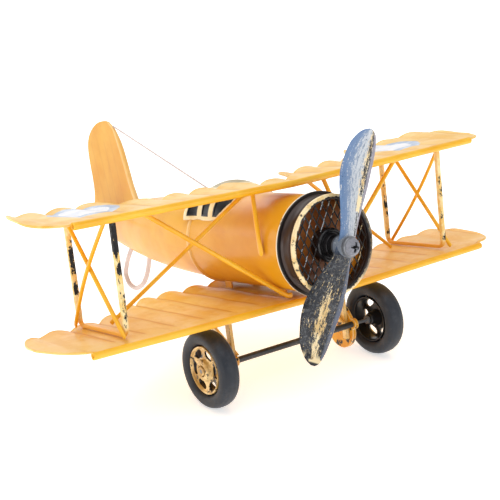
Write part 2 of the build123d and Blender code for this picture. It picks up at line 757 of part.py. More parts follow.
tip_up = Rot(-STANCE, 0, 0)
standing = {name: tip_up * shape for name, shape in nodes.items()}
boxes = [shape.bounding_box() for shape in standing.values()]
nose_y = min(box.min.Y for box in boxes)
tail_y = max(box.max.Y for box in boxes)
floor_z = min(box.min.Z for box in boxes)
to_floor = Pos(0, -(nose_y + tail_y) / 2, -floor_z)

os.makedirs("parts", exist_ok=True)
for name, shape in standing.items():
    export_step(to_floor * shape, f"parts/{name}.step")


def on_floor(point):
    """Where a point of the flight frame ends up in the standing model."""
    moved = to_floor * tip_up * Location(point)
    return tuple(round(value, 4) for value in moved.position)


print("propeller axis through", on_floor((0, HUB_FRONT, AXIS_Z)), "and", on_floor((0, HUB_BACK, AXIS_Z)))
print("right wheel centre", on_floor((WHEEL_X, WHEEL_Y, WHEEL_Z)))
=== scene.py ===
import json
import math

import bmesh
import bpy
from mathutils import Matrix, Vector, noise


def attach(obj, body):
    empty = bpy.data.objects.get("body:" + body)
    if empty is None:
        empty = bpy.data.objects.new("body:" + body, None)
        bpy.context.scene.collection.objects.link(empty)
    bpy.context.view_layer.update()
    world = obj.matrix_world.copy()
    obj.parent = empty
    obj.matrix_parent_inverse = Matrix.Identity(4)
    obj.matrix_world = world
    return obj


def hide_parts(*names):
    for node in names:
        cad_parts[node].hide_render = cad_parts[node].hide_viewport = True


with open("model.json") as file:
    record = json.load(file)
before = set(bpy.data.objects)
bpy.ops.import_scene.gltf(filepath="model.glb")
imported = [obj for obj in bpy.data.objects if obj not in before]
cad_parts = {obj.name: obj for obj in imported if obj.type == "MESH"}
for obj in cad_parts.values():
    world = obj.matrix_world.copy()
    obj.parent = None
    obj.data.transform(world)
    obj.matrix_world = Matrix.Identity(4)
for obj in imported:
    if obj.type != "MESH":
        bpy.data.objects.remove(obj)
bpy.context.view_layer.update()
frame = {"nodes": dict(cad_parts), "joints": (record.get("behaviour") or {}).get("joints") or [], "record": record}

scene = bpy.context.scene
nodes = frame["nodes"]
joints = {joint["name"]: joint for joint in frame["joints"]}

# The model is described in its flight frame, in millimetres: nose towards -Y, the centre plane at
# x = 0, the tops of the front struts at y = z = 0. FLIGHT puts that frame into the row's frame.
AXIS_Z = -29.4
HUB_FRONT, HUB_BACK = -41.4, -34.8
SCREW_TOP = -46.4
MM = 0.001
nose = joints["propeller_spin"]["axis"]
STANCE = math.atan2(nose[2], -nose[1])
FLIGHT = (
    Matrix.Translation(joints["propeller_spin"]["pos_m"])
    @ Matrix.Rotation(-STANCE, 4, "X")
    @ Matrix.Scale(MM, 4)
    @ Matrix.Translation((0.0, -HUB_FRONT, -AXIS_Z))
)
WHEEL_X, WHEEL_Y, WHEEL_Z = 55.6, 12.7, -84.5
DIHEDRAL_RISE = math.tan(math.radians(1.1))
FLUTE = 17.0
X_AXIS, Y_AXIS, Z_AXIS = (Vector(axis) for axis in ((1, 0, 0), (0, 1, 0), (0, 0, 1)))


# ---- materials

class Signal:
    """A number that a material's nodes work out. It combines with other numbers as usual."""

    def __init__(self, paint, socket):
        self.paint, self.socket = paint, socket

    def __add__(self, other):
        return self.paint.math("ADD", self, other)

    def __sub__(self, other):
        return self.paint.math("SUBTRACT", self, other)

    def __rsub__(self, other):
        return self.paint.math("SUBTRACT", other, self)

    def __mul__(self, other):
        return self.paint.math("MULTIPLY", self, other)

    def __truediv__(self, other):
        return self.paint.math("DIVIDE", self, other)

    def __pow__(self, other):
        return self.paint.math("POWER", self, other)

    def __abs__(self):
        return self.paint.math("ABSOLUTE", self)

    def ramp(self, zero, one):
        """0 where the number is at zero and 1 where it is at one, smooth between them."""
        node = self.paint.add("ShaderNodeMapRange", interpolation_type="SMOOTHSTEP")
        falling = zero > one
        self.paint.feed(node.inputs["Value"], self)
        node.inputs["From Min"].default_value = min(zero, one)
        node.inputs["From Max"].default_value = max(zero, one)
        node.inputs["To Min"].default_value = 1.0 if falling else 0.0
        node.inputs["To Max"].default_value = 0.0 if falling else 1.0
        return Signal(self.paint, node.outputs["Result"])

    def within(self, start, full, fading, gone):
        """1 from full to fading, and 0 before start and after gone."""
        return self.ramp(start, full) * self.ramp(gone, fading)


class Paint:
    """A principled material and short ways to add nodes to it."""

    def __init__(self, name, rough=0.4, metal=0.0, coat=0.0, coat_rough=0.12, ior=1.4):
        self.material = bpy.data.materials.new(name)
        self.material.use_nodes = True
        self.tree = self.material.node_tree
        self.shader = self.tree.nodes["Principled BSDF"]
        self.set("Roughness", rough)
        self.set("Metallic", metal)
        self.set("Coat Weight", coat)
        self.set("Coat Roughness", coat_rough)
        self.set("IOR", ior)
        self.place = self.add("ShaderNodeTexCoord").outputs["Object"]

    def add(self, kind, **settings):
        node = self.tree.nodes.new(kind)
        for key, value in settings.items():
            setattr(node, key, value)
        return node

    def feed(self, socket, value):
        """A constant, a colour, a signal, or an output to link, on a socket."""
        if isinstance(value, Signal):
            value = value.socket
        if isinstance(value, bpy.types.NodeSocket):
            self.tree.links.new(value, socket)
        elif isinstance(value, tuple) and len(value) == 3 and socket.type == "RGBA":
            socket.default_value = (*value, 1.0)
        else:
            socket.default_value = value

    def set(self, socket, value):
        self.feed(self.shader.inputs[socket], value)

    def flight(self):
        """The x, y and z of the flight frame, in millimetres."""
        mapping = self.add("ShaderNodeMapping", vector_type="TEXTURE")
        mapping.inputs["Location"].default_value = FLIGHT.to_translation()
        mapping.inputs["Rotation"].default_value = (-STANCE, 0.0, 0.0)
        mapping.inputs["Scale"].default_value = (MM, MM, MM)
        self.feed(mapping.inputs["Vector"], self.place)
        split = self.add("ShaderNodeSeparateXYZ")
        self.feed(split.inputs["Vector"], mapping.outputs["Vector"])
        return [Signal(self, split.outputs[axis]) for axis in "XYZ"]

    def radius(self, a, b, a_middle, b_middle):
        """Distance from an axis, given the two coordinates across it."""
        return self.math("SQRT", (a - a_middle) ** 2.0 + (b - b_middle) ** 2.0)

    def noise(self, scale, detail=3.0, rough=0.55, stretch=None, place=None):
        node = self.add("ShaderNodeTexNoise")
        node.inputs["Scale"].default_value = scale
        node.inputs["Detail"].default_value = detail
        node.inputs["Roughness"].default_value = rough
        place = place or self.place
        if stretch:
            mapping = self.add("ShaderNodeMapping")
            mapping.inputs["Scale"].default_value = stretch
            self.feed(mapping.inputs["Vector"], place)
            place = mapping.outputs["Vector"]
        self.feed(node.inputs["Vector"], place)
        return Signal(self, node.outputs["Fac"])

    def math(self, operation, a, b=None, c=None):
        node = self.add("ShaderNodeMath", operation=operation)
        for socket, value in zip(node.inputs, (a, b, c)):
            if value is not None:
                self.feed(socket, value)
        return Signal(self, node.outputs["Value"])

    def mix(self, factor, a, b):
        """Blend of two colours."""
        node = self.add("ShaderNodeMix", data_type="RGBA")
        for key, value in (("Factor", factor), (6, a), (7, b)):
            self.feed(node.inputs[key], value)
        return node.outputs[2]

    def attribute(self, name):
        return Signal(self, self.add("ShaderNodeAttribute", attribute_name=name).outputs["Fac"])

    def edges(self, radius):
        """How much the surface turns within radius: 0 on a flat, up towards 1 on a sharp edge."""
        bevel = self.add("ShaderNodeBevel", samples=6)
        bevel.inputs["Radius"].default_value = radius
        dot = self.add("ShaderNodeVectorMath", operation="DOT_PRODUCT")
        self.feed(dot.inputs[0], bevel.outputs["Normal"])
        self.feed(dot.inputs[1], self.add("ShaderNodeNewGeometry").outputs["Normal"])
        return 1.0 - Signal(self, dot.outputs["Value"])

    def finish(self, colour, rough=0.36, peel=0.00003):
        """Cloudy roughness and the fine orange peel of sprayed enamel, under the given colour."""
        self.set("Base Color", colour)
        self.set("Roughness", self.noise(38.0, 3.0).ramp(0.3, 0.7) * 0.10 + rough)
        bump = self.add("ShaderNodeBump")
        bump.inputs["Distance"].default_value = peel
        bump.inputs["Strength"].default_value = 0.5
        self.feed(bump.inputs["Height"], self.noise(620.0, 2.0, 0.5))
        self.set("Normal", bump.outputs["Normal"])
        return self.material


YELLOW = (0.72, 0.315, 0.006)
YELLOW_LIGHT = (0.79, 0.385, 0.018)
YELLOW_DEEP = (0.56, 0.19, 0.003)
GOLD_LIGHT = (0.90, 0.72, 0.42)
GOLD_PALE = (0.86, 0.70, 0.42)
BLACK = (0.012, 0.011, 0.012)
SOOT = (0.02, 0.02, 0.022)
BROWN_BLACK = (0.022, 0.013, 0.010)


def tin_paint(name, base=YELLOW, light=YELLOW_LIGHT, deep=YELLOW_DEEP, wear=0.35, rough=0.34):
    """Sprayed yellow enamel: cloudy colour, deeper streaks, pale rubs on edges, a few chips."""
    paint = Paint(name, coat=0.28, coat_rough=0.14, ior=1.34)
    colour = paint.mix(paint.noise(30.0, 4.0, 0.6).ramp(0.36, 0.68), base, light)
    streaks = paint.noise(70.0, 5.0, 0.65, stretch=(1.0, 0.3, 1.0)).ramp(0.52, 0.76)
    colour = paint.mix(streaks * 0.4, colour, deep)
    edge = paint.edges(0.0009)
    ragged = edge + paint.noise(420.0, 4.0, 0.7) * 0.25
    colour = paint.mix(ragged.ramp(0.27, 0.44) * wear, colour, (0.98, 0.72, 0.28))
    chips = (paint.noise(240.0, 5.0, 0.75) + edge * 0.16).ramp(0.71, 0.74)
    return paint.finish(paint.mix(chips * 0.5, colour, (0.10, 0.05, 0.02)), rough)


def fin_paint(name):
    """Yellow enamel on the fin, with faint upright ochre lines as the painted shade of pressed grooves."""
    paint = Paint(name, coat=0.28, coat_rough=0.14, ior=1.34)
    _, y, z = paint.flight()
    # Painted shade: faint ochre lines stand for the shade of upright pressed grooves.
    leaning = paint.math("MULTIPLY_ADD", z, -0.16, y) / 8.5
    groove_shade = abs(paint.math("FRACT", leaning) - 0.5).ramp(0.36, 0.5)
    groove_shade = groove_shade * y.ramp(172.0, 176.0) * z.ramp(30.0, 22.0)
    clouds = paint.noise(30.0, 4.0, 0.6).ramp(0.36, 0.68)
    colour = paint.mix(clouds, (0.74, 0.33, 0.010), (0.80, 0.42, 0.035))
    streaks = paint.noise(120.0, 5.0, 0.7, stretch=(1.0, 1.0, 0.15)).ramp(0.50, 0.72)
    colour = paint.mix(streaks * 0.35, colour, YELLOW_DEEP)
    return paint.finish(paint.mix(groove_shade * 0.2, colour, YELLOW_DEEP), 0.34)


def wing_paint(name, marks):
    """Fluted yellow enamel sheet: painted shade in the valleys, painted highlight on the crests."""
    paint = Paint(name, coat=0.15, coat_rough=0.22, ior=1.36)
    valley, rim = paint.attribute("valley"), paint.attribute("rim")
    clouds = paint.noise(34.0, 4.0, 0.6).ramp(0.35, 0.68)
    base = paint.mix(clouds, (0.80, 0.43, 0.045), (0.85, 0.54, 0.13))
    # Painted shade: deeper orange down in the valleys of the flutes.
    valley_shade = valley + paint.noise(85.0, 4.0, 0.6, stretch=(1.0, 0.25, 1.0)) * 0.5
    colour = paint.mix(valley_shade.ramp(0.72, 1.25) * 0.85, base, (0.66, 0.26, 0.006))
    fine = paint.noise(260.0, 5.0, 0.7, stretch=(1.0, 0.12, 1.0)).ramp(0.52, 0.68)
    colour = paint.mix(fine * 0.38, colour, (0.68, 0.30, 0.012))
    # Painted highlight: paler yellow on the crests.
    crest = (paint.noise(60.0, 5.0, 0.65) - valley * 0.4).ramp(0.42, 0.6)
    colour = paint.mix(crest * 0.45, colour, (0.92, 0.64, 0.27))
    frayed = rim + paint.noise(300.0, 4.0, 0.7) * 2.0
    colour = paint.mix(frayed.ramp(2.0, 1.0) * 0.65, colour, (0.98, 0.70, 0.26))
    if marks:
        rubbed = paint.attribute("mark") + paint.noise(160.0, 5.0, 0.75) * 5.0
        grime = paint.noise(110.0, 5.0, 0.65)
        white = paint.mix(grime.ramp(0.35, 0.7), (0.84, 0.82, 0.82), (0.64, 0.67, 0.75))
        blue = paint.mix(grime.ramp(0.4, 0.65), (0.34, 0.42, 0.56), (0.60, 0.66, 0.76))
        colour = paint.mix(rubbed.ramp(20.9, 20.3), colour, blue)
        colour = paint.mix(rubbed.ramp(15.9, 15.3), colour, white)
    return paint.finish(colour, 0.36, 0.00004)


def strut_paint(name):
    """Cream-yellow over black, which shows in ragged patches, mostly at the front post's top."""
    paint = Paint(name, coat=0.1, ior=1.25)
    x, y, z = paint.flight()
    foot = paint.attribute("along")
    patches = paint.noise(230.0, 5.0, 0.72, stretch=(1.0, 1.0, 0.55))
    clouds = paint.noise(150.0, 4.0, 0.6).ramp(0.4, 0.62)
    cream = paint.mix(clouds, (0.86, 0.56, 0.17), (0.93, 0.76, 0.42))
    front_top = y.ramp(12.0, 8.0) * x.ramp(0.0, -20.0) * z.ramp(-15.0, -10.0)
    half_way_up = z.ramp(-8.0, -18.0) * z.ramp(-53.0, -48.0)
    amount = patches + paint.attribute("flank") * half_way_up * 0.13 - 0.06
    amount = amount + front_top * 0.26 - x.ramp(0.0, 20.0) * 0.03 - foot * 0.55
    colour = paint.mix(foot, cream, (0.90, 0.46, 0.07))
    # The black is flecked with grey-blue as small painted highlights.
    black = paint.mix(paint.noise(500.0, 3.0, 0.7).ramp(0.56, 0.66), BLACK, (0.07, 0.08, 0.09))
    return paint.finish(paint.mix(amount.ramp(0.55, 0.585), colour, black), 0.3)


def worn(name, base, light, bare, amount=0.5, rough=0.32, metal=0.0, coat=0.2):
    """A dark or metal finish rubbed through on its edges and in small scattered patches."""
    paint = Paint(name, coat=coat, metal=metal)
    colour = paint.mix(paint.noise(80.0, 5.0, 0.65).ramp(0.4, 0.68), base, light)
    ragged = paint.edges(0.0008) + paint.noise(360.0, 5.0, 0.72) * 0.42
    colour = paint.mix(ragged.ramp(0.34, 0.40) * amount, colour, bare)
    specks = paint.noise(560.0, 4.0, 0.75).ramp(0.68, 0.71)
    return paint.finish(paint.mix(specks * amount, colour, bare), rough)


def plate_paint(name):
    """Orange plates with cream rims, and black showing in the worn places between."""
    paint = Paint(name, coat=0.25)
    rim = paint.edges(0.0016) + paint.noise(260.0, 4.0, 0.7) * 0.12
    patches = paint.noise(170.0, 4.0, 0.7).ramp(0.56, 0.58)
    clouds = paint.noise(90.0, 4.0).ramp(0.4, 0.65)
    orange = paint.mix(clouds, (0.74, 0.28, 0.008), (0.80, 0.40, 0.03))
    colour = paint.mix(patches, orange, BLACK)
    return paint.finish(paint.mix(rim.ramp(0.16, 0.22), colour, (0.86, 0.66, 0.34)), 0.32)


def cowl_paint(name, kind):
    """Black cowl enamel: gold on the front ring with a ragged edge, a pale line on the flange."""
    paint = Paint(name, coat=0.2, coat_rough=0.08, ior=1.38)
    x, y, z = paint.flight()
    r = paint.radius(x, z, 0.0, AXIS_Z)
    colour = paint.mix(paint.noise(60.0, 4.0).ramp(0.4, 0.65), BLACK, BROWN_BLACK)
    if kind == "ring":
        clouds = paint.noise(190.0, 4.0, 0.65).ramp(0.42, 0.6)
        gold = paint.mix(clouds, GOLD_LIGHT, (0.80, 0.56, 0.24))
        ragged = (paint.noise(330.0, 5.0, 0.7) - 0.5) * 5.0
        cover = (r + ragged * 0.8).ramp(24.15, 24.45)
        chips = paint.noise(260.0, 5.0, 0.75).ramp(0.60, 0.63)
        bare = paint.math("MAXIMUM", chips, x.ramp(12.0, 20.0) * 0.8)
        colour = paint.mix(cover * (1.0 - bare), colour, gold)
    elif kind == "flange":
        line = y.ramp(-18.15, -17.95) * r.ramp(25.6, 26.2)
        line = line * paint.noise(150.0, 4.0, 0.7).ramp(0.30, 0.40)
        colour = paint.mix(line, colour, (0.88, 0.80, 0.62))
    elif kind == "drum":
        clouds = paint.noise(45.0, 4.0).ramp(0.3, 0.7)
        colour = paint.mix(clouds, (0.030, 0.014, 0.010), (0.05, 0.026, 0.018))
    elif kind == "backing":
        # Painted light: the backing turns bright orange towards its lower right, where light falls.
        painted_light_lower_right = x.ramp(-6.0, 14.0) * z.ramp(-28.0, -38.0)
        clouds = paint.noise(70.0, 4.0, 0.6).ramp(0.35, 0.7)
        rust = paint.mix(clouds, (0.24, 0.060, 0.008), (0.42, 0.14, 0.020))
        colour = paint.mix(painted_light_lower_right, rust, (0.90, 0.30, 0.02))
    elif kind == "mesh":
        # Bare metal on the strands: partly wear from noise, partly a painted highlight on the faces marked by
        # face.
        rub_and_highlight = paint.noise(210.0, 4.0, 0.7) + paint.attribute("face") * 0.22
        # Painted reflection: the bare metal is silver towards the left and gold towards the right.
        silver = paint.mix(x.ramp(-2.0, 8.0), (0.50, 0.52, 0.55), (0.85, 0.62, 0.30))
        colour = paint.mix(rub_and_highlight.ramp(0.72, 0.80), (0.014, 0.011, 0.010), silver)
    return paint.finish(colour, 0.26)


def blade_paint(name):
    """Gunmetal blades, dry-brushed lengthwise with silver, and with gold towards the tips.

    across runs from -1 to 1 over the chord, and station is the distance from the hub, negative on
    the lower blade. The blue-grey sheen on the upper blade's left is painted reflection, with extra
    silver there as painted highlight; the dark line by its ridge and the violet-grey right edges are
    painted shade, and the extra gold along the ridge is painted highlight.
    """
    paint = Paint(name, coat=0.12, coat_rough=0.25, ior=1.35)
    across, station = paint.attribute("across"), paint.attribute("station")
    reach = abs(station)
    upper = station.ramp(-7.0, 7.0)
    lower = 1.0 - upper
    grain = paint.add("ShaderNodeCombineXYZ")
    paint.feed(grain.inputs["X"], across * 9.0)
    paint.feed(grain.inputs["Y"], station * 0.16)
    strokes = paint.noise(1.0, 6.0, 0.75, place=grain.outputs["Vector"])
    speckle = paint.noise(1100.0, 3.0, 0.8)
    broad = paint.noise(95.0, 4.0, 0.6)
    brush = strokes * 0.7 + speckle * 0.3

    dark = paint.mix(broad.ramp(0.35, 0.65), (0.010, 0.011, 0.015), (0.028, 0.030, 0.038))
    # Painted reflection: a blue-grey sheen over the left part of the upper blade only.
    blue = paint.mix(across.ramp(-0.9, 0.3), (0.135, 0.225, 0.40), (0.36, 0.41, 0.48))
    colour = paint.mix(upper * across.ramp(0.95, 0.35), dark, blue)
    # Silver rubs, plus extra on the upper blade's left as painted highlight.
    silver = brush + upper * across.ramp(-0.85, 0.0) * 0.105 - lower * 0.015
    colour = paint.mix(silver.ramp(0.565, 0.60) * 0.8, colour, (0.62, 0.64, 0.66))
    # Dark pits, plus a dark line by the upper blade's ridge as painted shade.
    pits_and_shade = (1.0 - brush) + across.ramp(0.15, 0.55) * 0.125
    colour = paint.mix(pits_and_shade.ramp(0.585, 0.62) * upper, colour, SOOT)
    # Painted shade: violet-grey along the upper blade's right edge, dark blue along the lower one's.
    shade = paint.mix(upper, (0.11, 0.13, 0.19), (0.30, 0.28, 0.34))
    colour = paint.mix(across.ramp(0.66, 0.80) * 0.85, colour, shade)
    fine = paint.noise(700.0, 4.0, 0.85).ramp(0.50, 0.58)
    colour = paint.mix(fine * lower * 0.45, colour, (0.17, 0.18, 0.19))

    # Gold rubs, plus extra along the ridge as painted highlight.
    ridge = upper * 0.40 + 0.05
    ridge_highlight = abs(across - ridge).ramp(0.48, 0.05) * reach.ramp(14.0, 34.0)
    gold_amount = brush + ridge_highlight * 0.125 - upper * 0.05
    gold = paint.mix(broad.ramp(0.4, 0.6), (0.66, 0.46, 0.20), GOLD_PALE)
    colour = paint.mix(gold_amount.ramp(0.575, 0.60), colour, gold)
    patch = paint.math("MAXIMUM", abs(station - 23.0) - 2.6, abs(across - 0.5) * 9.0)
    colour = paint.mix((patch + speckle * 4.0).ramp(3.9, 3.5), colour, GOLD_LIGHT)
    tip = reach.ramp(54.0, 57.5) * station.ramp(0.0, -4.0)
    colour = paint.mix(tip * broad.ramp(0.44, 0.48), colour, GOLD_PALE)
    colour = paint.mix(reach.ramp(58.6, 59.4) * lower, colour, SOOT)
    return paint.finish(colour, 0.32, 0.00005)


def wheel_paint(name):
    """Gold on the wheels' outer sides, worn to black, and black on their inner sides."""
    paint = Paint(name, coat=0.3, ior=1.4)
    x, y, z = paint.flight()
    clouds = paint.noise(120.0, 4.0, 0.6).ramp(0.4, 0.62)
    gold = paint.mix(clouds, (0.46, 0.27, 0.07), (0.82, 0.60, 0.28))
    outer = abs(x).ramp(WHEEL_X + 2.7, WHEEL_X + 2.95)
    between_spokes = paint.radius(y, z, WHEEL_Y, WHEEL_Z).within(6.4, 7.0, 10.4, 11.0)
    kept = (paint.noise(230.0, 5.0, 0.72) + between_spokes * 0.05).ramp(0.60, 0.56)
    return paint.finish(paint.mix(outer * kept, BLACK, gold), 0.3)


def rubber(name):
    """Dusty black rubber with a few brown spots."""
    paint = Paint(name)
    dust = paint.noise(140.0, 5.0, 0.7).ramp(0.45, 0.75)
    colour = paint.mix(dust * 0.6, (0.020, 0.024, 0.033), (0.050, 0.055, 0.068))
    spots = paint.noise(75.0, 4.0, 0.7).ramp(0.70, 0.73)
    return paint.finish(paint.mix(spots * 0.7, colour, (0.22, 0.13, 0.04)), 0.42, 0.00008)


def screw_paint(name):
    """Grey screw head, its cross recess painted near-black as painted shade."""
    paint = Paint(name, coat=0.1, ior=1.4)
    x, y, z = paint.flight()
    r = paint.radius(x, z, 0.0, AXIS_Z)
    clouds = paint.noise(300.0, 4.0, 0.7).ramp(0.35, 0.65)
    grey = paint.mix(clouds, (0.16, 0.165, 0.19), (0.26, 0.265, 0.30))
    # Painted shade: near-black inside the cross recess, below the dome's surface.
    below_dome = (y - SCREW_TOP) + r * r * -0.115
    return paint.finish(paint.mix(below_dome.ramp(0.12, 0.34), grey, (0.006, 0.006, 0.007)), 0.36)


def cabin_paint(name):
    """Cream enamel round the windows, an olive line along the back of the roof."""
    paint = Paint(name, coat=0.25)
    _, y, z = paint.flight()
    clouds = paint.noise(90.0, 4.0, 0.6).ramp(0.38, 0.64)
    cream = paint.mix(clouds, (0.90, 0.76, 0.46), (0.86, 0.62, 0.28))
    below = paint.math("MAXIMUM", -7.0 - z, 0.0)
    slant = paint.math("MULTIPLY_ADD", below, -0.9, y)
    panes = slant.ramp(35.2, 35.6) * y.ramp(45.2, 44.8)
    for low, high in ((48.7, 55.5), (60.1, 67.7)):
        panes = panes + y.within(low - 0.2, low + 0.2, high - 0.2, high + 0.2)
    panes = panes * z.within(-14.1, -13.8, -2.9, -2.6)
    line = y.within(44.0, 47.0, 62.0, 66.0) * z.ramp(-0.6, 0.4)
    colour = paint.mix(line * 0.75, cream, (0.16, 0.13, 0.04))
    ragged = paint.edges(0.0008) + paint.noise(360.0, 5.0, 0.7) * 0.3
    colour = paint.mix(ragged.ramp(0.34, 0.42) * 0.5, colour, (0.25, 0.16, 0.05))
    colour = paint.mix(z.ramp(-15.9, -16.3), colour, YELLOW)
    return paint.finish(paint.mix(panes, colour, (0.008, 0.007, 0.006)), 0.34)


FINISHES = {
    "yellow_paint": (tin_paint,),
    "upper_wing": (wing_paint, True),
    "lower_wing": (wing_paint, False),
    "wing_roll": (
        tin_paint, (0.88, 0.43, 0.016), (0.94, 0.54, 0.04), (0.78, 0.32, 0.01), 0.2, 0.28
    ),
    "fin_paint": (fin_paint,),
    "plate_paint": (plate_paint,),
    # Paler yellow for the fin's fold, also used on the seam bead as its painted highlight.
    "fin_edge": (tin_paint, (0.86, 0.50, 0.14), (0.90, 0.60, 0.24), (0.78, 0.38, 0.06), 0.3),
    "strut_paint": (strut_paint,),
    "leg_paint": (worn, (0.84, 0.52, 0.14), (0.90, 0.70, 0.36), (0.03, 0.022, 0.02), 0.85),
    "cream_paint": (cabin_paint,),
    "cowl_black": (worn, BLACK, BLACK, (0.10, 0.10, 0.11), 0.3, 0.2),
    "cowl_ring": (cowl_paint, "ring"),
    "cowl_flange": (cowl_paint, "flange"),
    "cowl_drum": (cowl_paint, "drum"),
    "mesh_black": (cowl_paint, "mesh"),
    "copper_paint": (cowl_paint, "backing"),
    "propeller_gunmetal": (blade_paint,),
    "bright_steel": (
        worn, (0.20, 0.21, 0.23), (0.32, 0.33, 0.36), (0.08, 0.08, 0.09), 0.4, 0.34, 0.5
    ),
    "screw_steel": (screw_paint,),
    "tyre": (rubber,),
    "wheel_gold": (wheel_paint,),
    "window_black": (worn, (0.003,) * 3, (0.006,) * 3, (0.02, 0.018, 0.015), 0.2, 0.3, 0.0, 0.0),
    "pale_wire": (worn, (0.62, 0.50, 0.46), (0.72, 0.62, 0.58), (0.45, 0.34, 0.30), 0.3),
    "bar_black": (worn, (0.016, 0.015, 0.015), (0.05, 0.046, 0.045), (0.55, 0.50, 0.42), 0.6, 0.3),
}
materials = {name: build(name, *settings) for name, (build, *settings) in FINISHES.items()}
SLOT_OF = dict.fromkeys(("fin_edge", "upper_wing", "lower_wing", "wing_roll"), "yellow_paint")
SLOT_OF |= dict.fromkeys(("cowl_ring", "cowl_flange", "cowl_drum"), "cowl_black")
SLOT_OF["screw_steel"] = "bright_steel"


# ---- mesh helpers

def raw_mesh(name, shape, attributes=None):
    """A mesh from points in the flight frame, with its faces turned outwards."""
    verts, faces = shape
    mesh = bpy.data.meshes.new(name)
    mesh.from_pydata([FLIGHT @ Vector(point) for point in verts], [], faces)
    for key, values in (attributes or {}).items():
        mesh.attributes.new(key, "FLOAT", "POINT").data.foreach_set("value", values)
    work = bmesh.new()
    work.from_mesh(mesh)
    bmesh.ops.recalc_face_normals(work, faces=work.faces)
    work.to_mesh(mesh)
    work.free()
    return mesh


def put(name, data):
    """A new object in the scene."""
    thing = bpy.data.objects.new(name, data)
    scene.collection.objects.link(thing)
    return thing


def make(name, shape, paint, stands_for=(), body="root", attributes=None, sharp=35.0):
    """A visible piece, smooth except over edges sharper than the given angle."""
    mesh = raw_mesh(name, shape, attributes)
    mesh.shade_smooth()
    mesh.set_sharp_from_angle(angle=math.radians(sharp))
    mesh.materials.append(materials[paint])
    piece = put(name, mesh)
    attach(piece, body)
    if stands_for:
        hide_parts(*stands_for)
    return piece


def loft(rings, wrap=False):
    """A skin over closed rings of points, capped at both ends or wrapped round on itself."""
    count = len(rings[0])
    verts = [point for ring in rings for point in ring]
    faces = []
    for i in range(len(rings) if wrap else len(rings) - 1):
        here, there = i * count, (i + 1) % len(rings) * count
        for k in range(count):
            m = (k + 1) % count
            faces.append((here + k, here + m, there + m, there + k))
    if not wrap:
        faces.append(tuple(range(count)))
        faces.append(tuple(range(len(verts) - count, len(verts))))
    return verts, faces


def joined(*shapes):
    """Several shapes as one mesh."""
    verts, faces = [], []
    for more_verts, more_faces in shapes:
        faces += [tuple(len(verts) + k for k in face) for face in more_faces]
        verts += more_verts
    return verts, faces


def turns(count):
    """The cosines and sines of a whole turn in equal steps."""
    angles = [2 * math.pi * k / count for k in range(count)]
    return [(math.cos(angle), math.sin(angle)) for angle in angles]


def signed_power(value, power):
    return math.copysign(abs(value) ** power, value)


def smooth(t):
    """0 below 0 and 1 above 1, with an even slope between them."""
    t = min(max(t, 0.0), 1.0)
    return t * t * (3.0 - 2.0 * t)


def rounded(points, radius, steps=4, closed=True):
    """A polyline with its corners turned into arcs."""
    points = [Vector(point) for point in points]
    out = []
    for i, point in enumerate(points):
        if not closed and i in (0, len(points) - 1):
            out.append(point)
            continue
        before, after = points[i - 1], points[(i + 1) % len(points)]
        reach = min(radius, 0.45 * (before - point).length, 0.45 * (after - point).length)
        start = point + (before - point).normalized() * reach
        end = point + (after - point).normalized() * reach
        for k in range(steps + 1):
            t = k / steps
            out.append((1 - t) ** 2 * start + 2 * t * (1 - t) * point + t * t * end)
    return out


def lathe(profile, centre=(0.0, 0.0, AXIS_Z), around="Y", count=120):
    """A closed profile of (distance along, radius) turned round an axis through centre."""
    centre = Vector(centre)
    rings = []
    for along, radius in profile:
        ring = [(radius * c, radius * s) for c, s in turns(count)]
        ring = [(a, along, b) if around == "Y" else (along, a, b) for a, b in ring]
        rings.append([centre + Vector(point) for point in ring])
    return loft(rings, wrap=True)


def section(centre, along, side, half_side, half_other, count=16, power=2.0):
    """A ring of points round centre, across along: an ellipse at power 2, squarer above it."""
    along = along.normalized()
    side = (side - along * side.dot(along)).normalized()
    other = along.cross(side)
    ring = []
    for c, s in turns(count):
        a = signed_power(c, 2.0 / power) * half_side
        b = signed_power(s, 2.0 / power) * half_other
        ring.append(centre + side * a + other * b)
    return ring


def shares_along(path):
    """Where each point of a polyline is, as a share of its length, and that length."""
    lengths = [0.0]
    for a, b in zip(path, path[1:]):
        lengths.append(lengths[-1] + (b - a).length)
    return [length / lengths[-1] for length in lengths], lengths[-1]


def bar(path, side, sizes, count=16, power=2.0, wobble=0.0):
    """A bar along a path; sizes gives the two half widths at a share of its length."""
    shares, length = shares_along(path)
    rings = []
    for i, point in enumerate(path):
        along = path[min(i + 1, len(path) - 1)] - path[max(i - 1, 0)]
        uneven = 1.0 + wobble * noise.noise(point * 0.11)
        halves = [half * uneven for half in sizes(shares[i], length)]
        rings.append(section(point, along, side, *halves, count, power))
    return loft(rings)


def spread(points, pitch):
    """The polyline again, with points no further apart than pitch."""
    points = [Vector(point) for point in points]
    out = [points[0]]
    for a, b in zip(points[:-1], points[1:]):
        steps = max(1, math.ceil((b - a).length / pitch))
        out += [a.lerp(b, (k + 1) / steps) for k in range(steps)]
    return out


def dome(from_end, radius, flat_share):
    """How far a rod's rounded end has opened, at a distance from its tip."""
    short = max(0.0, 1.0 - from_end / radius)
    return math.sqrt(max(0.0, 1.0 - short**2)) * (1.0 - flat_share) + flat_share


def round_rod(radius, flat=0.0, flat_length=4.0, swell=1.35):
    """Half widths of a round rod, with ends beaten flat over flat_length."""

    def sizes(share, length):
        from_end = min(share, 1.0 - share) * length
        beaten = flat * smooth(1.0 - from_end / flat_length)
        tip = dome(from_end, 0.9 * radius, 0.06)
        return radius * (1.0 + (swell - 1.0) * beaten) * tip, radius * (1.0 - 0.55 * beaten) * tip

    return sizes


